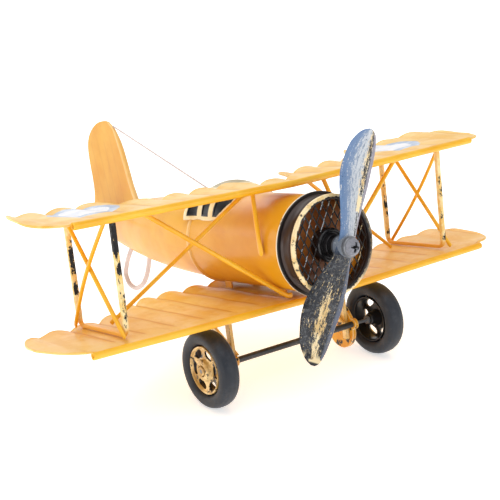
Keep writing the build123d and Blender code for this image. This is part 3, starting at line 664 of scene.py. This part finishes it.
def rod_path(points, radius, pitch=3.0):
    """A rod's path, with extra points by its ends for their rounding."""
    path = spread(points, pitch)
    for end, inward in ((0, 1), (-1, -2)):
        reach = (path[inward] - path[end]).normalized() * radius
        extra = [path[end] + reach * share for share in (0.08, 0.22, 0.45, 0.75)]
        if end == 0:
            path = [path[0], *extra, *path[1:]]
        else:
            path = [*path[:-1], *reversed(extra), path[-1]]
    return path


def carve(piece, shapes):
    """Cuts closed shapes out of a piece."""
    for shape in shapes:
        tool = put("cutter", raw_mesh("cutter", shape))
        cut = piece.modifiers.new("cut", "BOOLEAN")
        cut.operation = "DIFFERENCE"
        cut.solver = "EXACT"
        cut.object = tool
        seen = piece.evaluated_get(bpy.context.evaluated_depsgraph_get())
        shaped = bpy.data.meshes.new_from_object(seen)
        piece.modifiers.clear()
        piece.data = shaped
        bpy.data.objects.remove(tool)
    piece.data.name = piece.name


def both_sides(build):
    """Calls build for each side; sign is the side's direction along X."""
    for side, sign in (("left", -1), ("right", 1)):
        build(side, sign)


# ---- wings

STRAIGHT_HALF = 127.0
ROLL_HALF = 127.6
ROLL_R = 1.9
SKIN = 0.62
SCALLOP = 1.9
TIP_DEPTH = 29.0
MARK_X, MARK_Y = 101.0, 36.0


def petal(x):
    """1 on the crest of a flute and 0 in the valleys beside it."""
    t = (x / FLUTE + 0.5) % 1.0
    return 1.0 - (2.0 * t - 1.0) ** 2


def quarter(t, power):
    """A quarter of a superellipse: 1 at t = 0, falling to 0 at t = 1."""
    return max(0.0, 1.0 - t**power) ** (1 / power)


def upper_trailing(x):
    """The upper wing's trailing edge: cut back over the cabin, with two steps out on each side."""
    return 15.5 + 16.0 * smooth((x - 11.0) / 7.0) + 28.5 * smooth((x - 62.0) / 30.0)


def lower_trailing(x):
    return 80.0 - 27.5 * smooth((x - 42.0) / 58.0)


def wing_skin(name, base_z, roll, trailing, tips, lifts, corners):
    """The fluted sheet: columns across the span, rows along the chord, closed round the edge.

    tips, lifts and corners are for the left and the right side: how far the tip reaches, how far
    it is bent up, and how square its front corner is.
    """
    front = roll[0] + ROLL_R + 0.05
    columns = [i * FLUTE / 12 for i in range(-87, 88)]
    angles = [math.radians(a) for a in range(6, 90, 7)] + [math.radians(89.4)]
    for sign, tip in zip((-1, 1), tips):
        rounding = tip - STRAIGHT_HALF
        columns += [sign * (STRAIGHT_HALF + rounding * math.sin(angle)) for angle in angles]
    columns.sort()
    rows = [0.0, 0.012, 0.03, 0.055, 0.085, 0.12] + [0.12 + 0.84 * k / 24 for k in range(1, 25)]
    rows += [0.972, 0.982, 0.990, 0.996, 1.0]
    top, bottom, valley, rim, mark = [], [], [], [], []
    for x in columns:
        reach, crest = abs(x), petal(x)
        tip, lift, corner = (pair[x > 0] for pair in (tips, lifts, corners))
        inset = max(0.0, (reach - STRAIGHT_HALF) / (tip - STRAIGHT_HALF))
        start = front + TIP_DEPTH * (1.0 - quarter(inset, corner))
        under_roll = smooth((ROLL_HALF + 0.6 - reach) / 0.8)
        start -= 1.5 * under_roll
        turned = max(0.0, (reach - 110.5) / (tip - 110.5))
        end = trailing(reach) + SCALLOP * crest * smooth((132.0 - reach) / 14.0)
        end += 0.5 * noise.noise(Vector((x * 0.09, base_z, 0.0)))
        end = front + TIP_DEPTH + (end - front - TIP_DEPTH) * quarter(turned, 3.0)
        for row in rows:
            y = start + (end - start) * row
            inward = y - start
            height = 0.18 + 0.34 * smooth(inward / 26.0) + 0.62 * smooth(1.0 - (end - y) / 16.0)
            z = base_z + reach * DIHEDRAL_RISE + height * (2.0 * crest - 1.0) * 0.9
            z += (roll[1] + 1.35 - base_z) * under_roll * smooth(1.0 - inward / 5.0)
            z += lift * smooth((reach - 114.0) / 26.0) * smooth((y - 12.0) / 34.0)
            z -= 0.5 * smooth((reach - 122.0) / 20.0) * smooth((20.0 - y) / 20.0)
            z += 0.35 * noise.noise(Vector((x * 0.035, y * 0.05, base_z)))
            from_edge = min(end - y, 1.15 * (tip - reach), inward + 6.0 * under_roll)
            hem = smooth(1.0 - (from_edge - 0.9) / 0.9)
            hem *= 1.0 - 0.75 * smooth(1.0 - from_edge / 0.35)
            half = SKIN / 2 + 0.34 * hem
            top.append(Vector((x, y, z + half)))
            bottom.append(Vector((x, y, z - half)))
            # How deep in a valley each point lies, for the painted shade there.
            valley.append((1.0 - crest) ** 2.2 * smooth(inward / 12.0))
            rim.append(min(end - y, (tip - reach) * 0.9 + 0.6, 9.0))
            mark.append(math.hypot(reach - MARK_X, y - MARK_Y))
    count, depth = len(columns), len(rows)
    faces, total = [], count * depth
    for i in range(count - 1):
        for k in range(depth - 1):
            a, b = i * depth + k, (i + 1) * depth + k
            faces.append((a, b, b + 1, a + 1))
            faces.append((total + a, total + a + 1, total + b + 1, total + b))
    edge = [i * depth for i in range(count)] + [(count - 1) * depth + k for k in range(1, depth)]
    edge += [i * depth + depth - 1 for i in range(count - 2, -1, -1)]
    edge += list(range(depth - 2, 0, -1))
    for a, b in zip(edge, edge[1:] + edge[:1]):
        faces.append((a, b, total + b, total + a))
    attributes = {"valley": valley * 2, "rim": rim * 2, "mark": mark + [99.0] * total}
    make(name, (top + bottom, faces), name, [f"{name}_skin"], attributes=attributes, sharp=50.0)


def wing_roll(name, stands_for, roll):
    """The leading edge rolled into a tube, with a lip along its back and open blunt ends."""
    rings = []
    ends = ((3.6, 1.15), (0.3, 1.25), (0.0, 1.5), (0.12, 1.78))
    pitch = (2 * ROLL_HALF - 1.0) / 96
    places = [(-ROLL_HALF + inset, radius) for inset, radius in ends]
    places += [(-ROLL_HALF + 0.5 + i * pitch, ROLL_R) for i in range(97)]
    places += [(ROLL_HALF - inset, radius) for inset, radius in reversed(ends)]
    for x, radius in places:
        ring = []
        for k, (c, s) in enumerate(turns(28)):
            wrap = 0.16 * ((k / 28 + 0.12) % 1.0) if radius > 1.3 else 0.0
            dents = 0.07 * noise.noise(Vector((x * 0.06, 2 * math.pi * k / 28, roll[1])))
            r = radius + wrap - 0.08 + dents
            ring.append(Vector((x, roll[0] + r * c, roll[1] + abs(x) * DIHEDRAL_RISE + r * s)))
        rings.append(ring)
    make(name, loft(rings), "wing_roll", stands_for, sharp=55.0)


UPPER_ROLL, LOWER_ROLL = (-3.2, 1.6), (-3.0, -59.6)
UPPER_TIPS = ((139.0, 148.0), (2.4, 2.2), (1.9, 2.3))
LOWER_TIPS = ((142.5, 148.0), (0.8, 1.7), (1.3, 2.3))
wing_skin("upper_wing", 2.0, UPPER_ROLL, upper_trailing, *UPPER_TIPS)
wing_roll("upper_wing_roll", ["upper_leading_edge"], UPPER_ROLL)
wing_skin("lower_wing", -57.9, LOWER_ROLL, lower_trailing, *LOWER_TIPS)
wing_roll("lower_wing_roll", ["lower_leading_edge"], LOWER_ROLL)


# ---- struts, braces and rods

STRUT_X, BRACE_X = 105.0, 107.7
STRUT_TOP, STRUT_FOOT = 3.6, -53.7
POST_LENGTH = 52.0


def strut_frame(side, sign):
    """One bar bent into a U: the front post, the foot on the lower wing, and the rear post."""
    x, count = sign * STRUT_X, 20
    corners = [(0.8, STRUT_TOP), (3.5, STRUT_FOOT), (50.5, STRUT_FOOT), (48.5, STRUT_TOP)]
    path = rounded([(x, y, z) for y, z in corners], 4.2, 6, closed=False)
    path = spread(path, 2.2)

    def sizes(share, length):
        end = min(share, 1.0 - share) * length
        foot = smooth((end - POST_LENGTH) / 6.0)
        pinch = smooth(1.0 - end / 3.0)
        return 1.4 - 0.45 * foot - 0.2 * pinch, 1.35 - 0.3 * foot - 0.3 * pinch

    shape = bar(path, X_AXIS, sizes, count, 4.0, 0.05)
    along, flank = [], []
    for i, share in enumerate(shares_along(path)[0]):
        ring = shape[0][i * count : (i + 1) * count]
        middle = sum((point.y for point in ring), 0.0) / count
        flank += [smooth((middle - point.y - 0.5) / 0.7) for point in ring]
        along += [smooth((0.5 - abs(share - 0.5) - 0.33) / 0.03)] * count
    stands_for = [f"{side}_{part}" for part in ("front_strut", "rear_strut", "strut_foot")]
    attributes = {"along": along, "flank": flank}
    make(f"{side}_strut_frame", shape, "strut_paint", stands_for, "root", attributes, 60)


def rod(name, stands_for, points, side, radius, beaten, count=14, wobble=0.0):
    """A wire with flattened ends; beaten gives their length and how far they spread."""
    sizes = round_rod(radius, 1.0, *beaten)
    shape = bar(rod_path(points, radius), side, sizes, count, 2.0, wobble)
    make(name, shape, "wing_roll", [stands_for])


def braces(side, sign):
    """The crossed wires outside a strut frame. The second one is bowed outwards past the first."""
    x, low, high = sign * BRACE_X, -54.0, 2.9
    points = [(x, 44.6, high), (x, 0.2, low)]
    rod(f"{side}_brace_down", f"{side}_brace_falling", points, Y_AXIS, 1.1, (3.5,))
    bow = x + sign * 2.25
    steps = [k / 22 for k in range(23)]
    arc = [(x + (bow - x) * math.sin(math.pi * t), 2.6 + 48.6 * t, high - 57.1 * t) for t in steps]
    rod(f"{side}_brace_up", f"{side}_brace_rising", arc, Y_AXIS, 1.0, (3.5,))


def long_rods(side, sign):
    """The long rod to the foot of the barrel, and the cross rod to the lower wing."""
    points = [(sign * 84.5, 11.0, 2.6), (sign * 11.6, -0.8, -55.2), (sign * 8.4, -1.0, -55.5)]
    rod(f"{side}_rod_long", f"{side}_long_rod", points, Z_AXIS, 1.25, (5.0, 1.25), 16, 0.04)
    points = [(sign * 17.8, 12.6, 1.2), (sign * 95.2, 36.8, -54.0)]
    rod(f"{side}_rod_cross", f"{side}_cross_rod", points, Z_AXIS, 1.05, (4.0, 1.3), 16, 0.04)


def cabane(side, sign):
    """A strut from the upper wing to the barrel, its foot beaten into a rounded pad."""
    radius, pad_length = 1.15, 5.0
    points = [(21.6, 3.4, 1.2), (23.0, 2.0, 0.2), (25.4, -1.4, -13.0), (26.5, -3.2, -21.5)]
    points = rounded([*points, (26.7, -4.0, -31.0)], 2.5, 5, closed=False)
    path = rod_path([(sign * x, y, z) for x, y, z in points], radius, 1.6)

    def sizes(share, length):
        from_foot = (1.0 - share) * length
        pad = smooth(1.0 - (from_foot - pad_length) / pad_length)
        tip = dome(from_foot, 2.0, 0.05)
        return (radius + 0.85 * pad) * tip, (radius - 0.35 * pad) * tip

    make(f"{side}_cabane", bar(path, Y_AXIS, sizes, 16, 2.2), "wing_roll", [f"{side}_cabane_strut"])


for build in (cabane, strut_frame, braces, long_rods):
    both_sides(build)


def tail_skid():
    """The wire loop under the tail, its bend resting on the floor."""
    points = [(152.6, -40.0), (154.6, -49.0), (161.0, -61.0), (168.0, -68.4), (178.4, -72.2)]
    points += [(186.6, -69.6), (189.6, -63.0), (183.0, -52.0), (172.6, -42.0)]
    path = spread(rounded([(0.0, y, z) for y, z in points], 6.0, 5, closed=False), 1.5)
    verts, faces = bar(path, X_AXIS, lambda share, length: (1.45, 1.45), 16)
    under = min((FLIGHT @ point).z for point in verts) / MM / math.cos(STANCE)
    verts = [point - Vector((0.0, 0.0, under)) for point in verts]
    make("tail_skid_wire", (verts, faces), "pale_wire", ["tail_skid"])


def fin_fold():
    """The fin's leading edge folded over, tapering out at its top."""
    points = [(160.2, -14.6), (161.4, -11.0), (164.6, -3.0), (168.5, 13.0)]
    points += [(171.8, 24.0), (176.4, 33.0), (182.0, 37.0)]
    path = spread(rounded([(0.0, y, z) for y, z in points], 5.0, 5, closed=False), 1.6)

    def sizes(share, length):
        taper = 1.0 - 0.8 * smooth((share - 0.62) / 0.38)
        return 0.35 + 1.0 * taper, 0.4 + 1.5 * taper

    make("fin_fold", bar(path, X_AXIS, sizes, 20, 2.6), "fin_edge", ["fin_leading_fold"])


def aerial():
    """The wire from the fin to its eyelet on the cabin."""
    radius = 0.5
    path = rod_path([(0.0, 75.6, -3.8), (0.0, 176.9, 34.6)], radius, 4.0)
    make("aerial_line", bar(path, X_AXIS, round_rod(radius), 12), "pale_wire", ["aerial_wire"])


tail_skid()
fin_fold()
aerial()


# ---- cowl

BARREL_FRONT, FLANGE_FRONT, DRUM_FRONT, RING_FRONT = -17.0, -18.8, -27.4, -29.6
BORE = 23.2
flange = [(BARREL_FRONT, 25.0), (BARREL_FRONT, 27.0), (FLANGE_FRONT, 27.0), (FLANGE_FRONT, BORE)]
flange = rounded([*flange, (-17.6, BORE)], 0.45)
make("cowl_flange", lathe(flange), "cowl_flange", ["cowl_rear_flange"])
drum = [(FLANGE_FRONT, BORE), (FLANGE_FRONT, 25.6), (-19.7, 24.7), (-21.2, 24.2), (-23.1, 24.0)]
drum += [(-25.0, 24.2), (-26.6, 24.7), (DRUM_FRONT, 25.2), (DRUM_FRONT, BORE)]
make("cowl_waist", lathe(rounded(drum, 0.8)), "cowl_drum", ["cowl_drum"])
ring = [(DRUM_FRONT, BORE), (DRUM_FRONT, 25.5), (-27.8, 25.9), (-29.0, 25.9), (RING_FRONT, 25.2)]
ring += [(RING_FRONT, 24.0), (-29.1, BORE)]
make("cowl_lip", lathe(rounded(ring, 0.4)), "cowl_ring", ["cowl_front_ring"])

boss = [(-22.0, 2.6), (-22.0, 8.8), (-27.4, 8.8), (-28.4, 8.2), (-28.4, 7.2), (-27.5, 6.9)]
boss += [(-27.5, 6.1), (-30.6, 5.8), (-30.6, 5.0), (-30.1, 4.7), (-30.1, 4.4), (-34.0, 4.2)]
boss += [(-34.0, 2.6)]
make("motor_rings", lathe(rounded(boss, 0.35, 3)), "cowl_black", ["motor_boss"])


def strand(start, end, slant):
    """One strand of the grille, thicker towards its bonds and waved across the sheet."""
    along = (end - start).normalized()
    tilt = Vector((along.z, 0.55 * slant, -along.x)).normalized()
    rings = []
    for share in (0.0, 0.16, 0.5, 0.84, 1.0):
        bond = abs(share - 0.5) * 2
        wave = Vector((0.0, 0.22 * slant * math.cos(math.pi * share), 0.0))
        centre = Vector((0.0, -26.8, AXIS_Z)) + start.lerp(end, share) + wave
        rings.append(section(centre, along, tilt, 0.42 + 0.16 * bond, 0.28, 8, 3.0))
    return loft(rings)


def grille():
    """Expanded metal: slanting strands in diamonds, cut round by the ring and the boss."""
    wide, tall = 4.6, 8.4
    outer, inner = 23.0, 9.0
    shapes, faces_at = [], []
    for column in range(-12, 12):
        for row in range(-6, 7):
            for slant in (-1, 1):
                a = Vector((column * wide / 2, 0.0, (row + (column % 2) / 2) * tall))
                b = a + Vector((wide / 2, 0.0, slant * tall / 2))
                points = [a.lerp(b, k / 16) for k in range(17)]
                inside = [point for point in points if inner < point.length < outer]
                if len(inside) >= 4:
                    shapes.append(strand(inside[0], inside[-1], slant))
                    # face marks the strand faces that take the painted highlight.
                    faces_at += [1.0 if k % 8 in (3, 4, 5) else 0.0 for k in range(40)]
    attributes = {"face": faces_at}
    make("grille", joined(*shapes), "mesh_black", ["grille_mesh"], "root", attributes, 60)


grille()


# ---- propeller

LEAN = math.radians(26.8)
ACROSS = Vector((math.cos(LEAN), 0.0, -math.sin(LEAN)))
ALONG = Vector((math.sin(LEAN), 0.0, math.cos(LEAN)))
BLADE = [
    # radius, chord, thickness, pitch, y
    (0.0, 10.6, 4.9, 0.0, -38.3),
    (3.0, 10.6, 4.6, 5.0, -38.2),
    (8.0, 11.4, 4.0, 6.0, -37.6),
    (15.3, 15.2, 3.4, 11.4, -36.0),
    (23.0, 19.0, 3.0, 11.4, -34.3),
    (30.5, 21.6, 2.6, 9.0, -32.9),
    (37.0, 21.8, 2.3, 6.0, -32.1),
    (43.3, 20.5, 2.0, 4.2, -32.2),
    (51.0, 17.6, 1.7, 2.0, -32.9),
    (56.4, 12.6, 1.35, 0.0, -34.2),
    (59.2, 7.8, 1.1, 0.0, -35.4),
    (60.6, 2.4, 0.7, 0.0, -36.0),
]


def blade_at(radius):
    """The blade's chord, thickness, pitch and y at a radius, smooth between its stations."""
    i = next(i for i in range(len(BLADE) - 1) if radius <= BLADE[i + 1][0])
    low, high = BLADE[i], BLADE[i + 1]
    before, after = BLADE[max(i - 1, 0)], BLADE[min(i + 2, len(BLADE) - 1)]
    span = high[0] - low[0]
    t = (radius - low[0]) / span
    values = []
    for k in range(1, 5):
        slope_low = (high[k] - before[k]) / (high[0] - before[0]) * span
        slope_high = (after[k] - low[k]) / (after[0] - low[0]) * span
        values.append(
            (2 * t**3 - 3 * t**2 + 1) * low[k]
            + (t**3 - 2 * t**2 + t) * slope_low
            + (3 * t**2 - 2 * t**3) * high[k]
            + (t**3 - t**2) * slope_high
        )
    return values


def propeller():
    """Both blades as one twisted casting, with the hub that the screw passes through."""
    reach = [0.0, 1.5, 3.0, 5.0] + [5.0 + 50.0 * k / 34 for k in range(1, 35)]
    reach += [56.2, 57.2, 58.1, 58.8, 59.4, 59.9, 60.2, 60.45, 60.6]
    rings, across, station = [], [], []
    for radius in [-r for r in reversed(reach[1:])] + reach:
        chord, thick, pitch, y = blade_at(abs(radius))
        turn = math.radians(math.copysign(pitch, radius))
        chord_dir = ACROSS * math.cos(turn) + Y_AXIS * math.sin(turn)
        normal = chord_dir.cross(ALONG)
        centre = Vector((0.0, y, AXIS_Z)) + ALONG * radius
        ring = []
        for c, s in turns(36):
            dent = 0.05 * noise.noise((centre + chord_dir * c * chord / 2) * 0.16)
            lift = signed_power(s, 1.15) * thick / 2 + dent
            ring.append(centre + chord_dir * (c * chord / 2) + normal * lift)
            across.append(c)
            station.append(radius)
        rings.append(ring)
    hub = [(HUB_BACK, 2.55), (HUB_BACK, 5.6), (HUB_FRONT, 5.2), (HUB_FRONT, 2.55)]
    hub = lathe(rounded(hub, 0.7), count=72)
    on_hub = [0.0] * len(hub[0])
    attributes = {"across": across + on_hub, "station": station + on_hub}
    stands_for, shape = ["propeller"], joined(loft(rings), hub)
    make("propeller_casting", shape, "propeller_gunmetal", stands_for, "propeller", attributes, 50)


propeller()


def screw_head():
    """A domed pan head with a cross recess, over the head of the screw."""
    head = [(-42.1, 0.15), (-42.1, 4.9), (-43.2, 4.8), (-44.3, 4.35), (-45.2, 3.6), (-45.9, 2.6)]
    profile = rounded([(y, radius) for y, radius in [*head, (-46.3, 1.4)]], 0.3, 3, closed=False)
    rings = []
    for y, radius in [*profile, Vector((SCREW_TOP, 0.15))]:
        rings.append([Vector((radius * c, y, AXIS_Z + radius * s)) for c, s in turns(64)])
    head = make("screw_head", loft(rings), "screw_steel", sharp=40)
    cutters = []
    for turn in (20.0, 110.0):
        lean = Matrix.Rotation(math.radians(turn), 4, "Y")
        rings = []
        for y, grow in ((-47.2, 1.15), (-43.6, 0.6)):
            long, wide = 2.75 * grow, 0.75 * (0.6 + 0.4 * grow)
            outline = [(-long, -wide), (long, -wide), (long, wide), (-long, wide)]
            rings.append([Vector((0, y, AXIS_Z)) + lean @ Vector((a, 0, b)) for a, b in outline])
        cutters.append(loft(rings))
    carve(head, cutters)


screw_head()


# ---- wheels

SLOT_R, SLOT_HALF_TALL = 9.2, 1.95
TYRE_R, TYRE_HALF_TALL, TYRE_HALF_WIDE = 16.55, 3.85, 5.4


def slot_prism(centre, turn):
    """A prism along X through the web, shaped like a bent slot round the wheel's centre."""
    outline = []
    for middle, start in ((9.5, 90.0), (-9.5, -90.0)):
        for k in range(7):
            t = math.radians(start - 30.0 * k)
            angle = math.radians(turn + middle + 12.2 * math.cos(t))
            r = SLOT_R + SLOT_HALF_TALL * math.sin(t)
            outline.append((r * math.cos(angle), r * math.sin(angle)))
    rings = []
    for along in (0.5, 4.0):
        x = math.copysign(along, centre[0])
        rings.append([Vector(centre) + Vector((x, y, z)) for y, z in outline])
    return loft(rings)


def wheel(side, sign):
    """A round rubber tyre on a gold disc with six slots."""
    centre = (sign * WHEEL_X, WHEEL_Y, WHEEL_Z)
    profile = []
    for k, (c, s) in enumerate(turns(40)):
        groove = 0.16 if k in (7, 13) else 0.0
        radius = TYRE_R + TYRE_HALF_TALL * signed_power(s, 0.82) - groove
        profile.append((TYRE_HALF_WIDE * signed_power(c, 0.82), radius))
    body = f"{side}_wheel"
    shape = lathe(profile, centre, "X", 128)
    make(f"{side}_tyre_rubber", shape, "tyre", [f"{side}_tyre"], body, sharp=60)
    rim = [(-4.2, 12.55), (-4.2, 12.0), (-3.0, 11.75), (1.6, 11.6), (1.9, 11.1), (1.9, 4.6)]
    rim += [(-3.4, 3.3), (-4.2, 2.9), (-4.2, 1.15), (4.2, 1.15), (4.2, 5.5), (3.1, 6.0)]
    rim += [(3.1, 11.1), (3.9, 11.5), (4.2, 11.9), (4.2, 12.55)]
    profile = [(sign * along, radius) for along, radius in rounded(rim, 0.35, 2)]
    shape = lathe(profile, centre, "X", 120)
    disc = make(f"{side}_wheel_disc", shape, "wheel_gold", [f"{side}_rim"], body)
    carve(disc, [slot_prism(centre, 60.0 * i) for i in range(6)])


both_sides(wheel)


# ---- finishes of the CAD pieces

LOOKS = {
    "spreader_tube": "bar_black",
    "tail_skid": "pale_wire",
    "axle_nuts": "wheel_gold",
    # The seam bead takes the paler fin-edge yellow as a painted highlight along it.
    "fuselage_seam_bead": "fin_edge",
    "fin": "fin_paint",
}
for side in ("left", "right"):
    LOOKS[f"{side}_axle_plate"] = "plate_paint"
    LOOKS[f"{side}_leg_upright"] = LOOKS[f"{side}_leg_rear_strip"] = "leg_paint"
slots = {part["node"]: part["material_slot"] for part in frame["record"]["subparts"]}
for name, node in nodes.items():
    node.data.materials.clear()
    node.data.materials.append(materials[LOOKS.get(name, slots[name])])


# ---- camera, light, floor

AIM = FLIGHT @ Vector((19.48, 72.84, -42.29))
CAMERA_AZIMUTH = math.radians(-36.11)
CAMERA_ELEVATION = math.radians(19.06)
CAMERA_ROLL = math.radians(-0.79)
CAMERA_DISTANCE = 0.7047
camera = put("camera", bpy.data.cameras.new("camera"))
camera.data.lens = 88.0
camera.data.sensor_width = 36.0
camera.data.clip_start = 0.01
camera.matrix_world = (
    Matrix.Translation(AIM)
    @ Matrix.Rotation(CAMERA_AZIMUTH, 4, "Z")
    @ Matrix.Rotation(math.pi / 2 - CAMERA_ELEVATION, 4, "X")
    @ Matrix.Rotation(CAMERA_ROLL, 4, "Z")
    @ Matrix.Translation((0.0, 0.0, CAMERA_DISTANCE))
)
scene.camera = camera

LIGHTS_AIM = Vector((0.0, 0.0, 0.06))
SUN_DIRECTION = Vector((0.25, 0.15, -1.0))
BASE_SKY = 0.22
FLOOR_HALF, FLOOR_GREY, FLOOR_GLOW = 60.0, 0.90, 0.55


def lamp(name, kind, energy, direction):
    light = put(name, bpy.data.lights.new(name, kind))
    light.data.energy = energy
    light.rotation_euler = direction.to_track_quat("-Z", "Y").to_euler()
    return light


def softbox(name, place, size, power):
    light = lamp(name, "AREA", power, LIGHTS_AIM - Vector(place))
    light.location = place
    light.data.shape = "RECTANGLE"
    light.data.size, light.data.size_y = size


softbox("left_softbox", (-0.85, -0.35, 0.22), (0.7, 0.25), 1.5)
softbox("front_softbox", (0.35, -1.0, 0.30), (0.5, 0.3), 1.6)
lamp("sky_lamp", "SUN", 1.15, SUN_DIRECTION).data.angle = math.radians(70)

world = bpy.data.worlds.new("studio")
scene.world = world
world.use_nodes = True
tree = world.node_tree
sky_place = tree.nodes.new("ShaderNodeTexCoord").outputs["Generated"]


def sky_glow(direction, start, full, strength, under=None):
    """Glow round a direction, from start to full as cosines, added to under or to BASE_SKY."""
    facing = tree.nodes.new("ShaderNodeVectorMath")
    facing.operation = "DOT_PRODUCT"
    facing.inputs[1].default_value = Vector(direction).normalized()
    tree.links.new(sky_place, facing.inputs[0])
    fade = tree.nodes.new("ShaderNodeMapRange")
    fade.interpolation_type = "SMOOTHSTEP"
    fade.inputs["From Min"].default_value = start
    fade.inputs["From Max"].default_value = full
    fade.inputs["To Max"].default_value = strength
    tree.links.new(facing.outputs["Value"], fade.inputs["Value"])
    total = tree.nodes.new("ShaderNodeMath")
    total.inputs[1].default_value = BASE_SKY
    tree.links.new(fade.outputs["Result"], total.inputs[0])
    if under:
        tree.links.new(under, total.inputs[1])
    return total.outputs["Value"]


sky = sky_glow((0.52, 0.72, 0.46), -0.35, 0.75, 0.55)
sky = sky_glow((0.22, 0.76, 0.60), 0.86, 0.96, 1.6, sky)
sky = sky_glow((-0.66, 0.74, 0.10), 0.95, 0.99, 2.2, sky)
tree.links.new(sky, tree.nodes["Background"].inputs["Strength"])
tree.nodes["Background"].inputs["Color"].default_value = (1.0, 1.0, 1.0, 1.0)
scene.view_settings.view_transform = "Standard"

floor_mesh = bpy.data.meshes.new("floor")
corners = [(a * FLOOR_HALF, b * FLOOR_HALF, 0.0) for a, b in ((-1, -1), (1, -1), (1, 1), (-1, 1))]
floor_mesh.from_pydata(corners, [], [(0, 1, 2, 3)])
floor = put("floor", floor_mesh)
floor_paint = Paint("floor", rough=0.9)
floor_paint.set("Base Color", (FLOOR_GREY,) * 3)
floor_paint.set("Emission Color", (1.0, 1.0, 1.0))
floor_paint.set("Emission Strength", FLOOR_GLOW)
floor_mesh.materials.append(floor_paint.material)
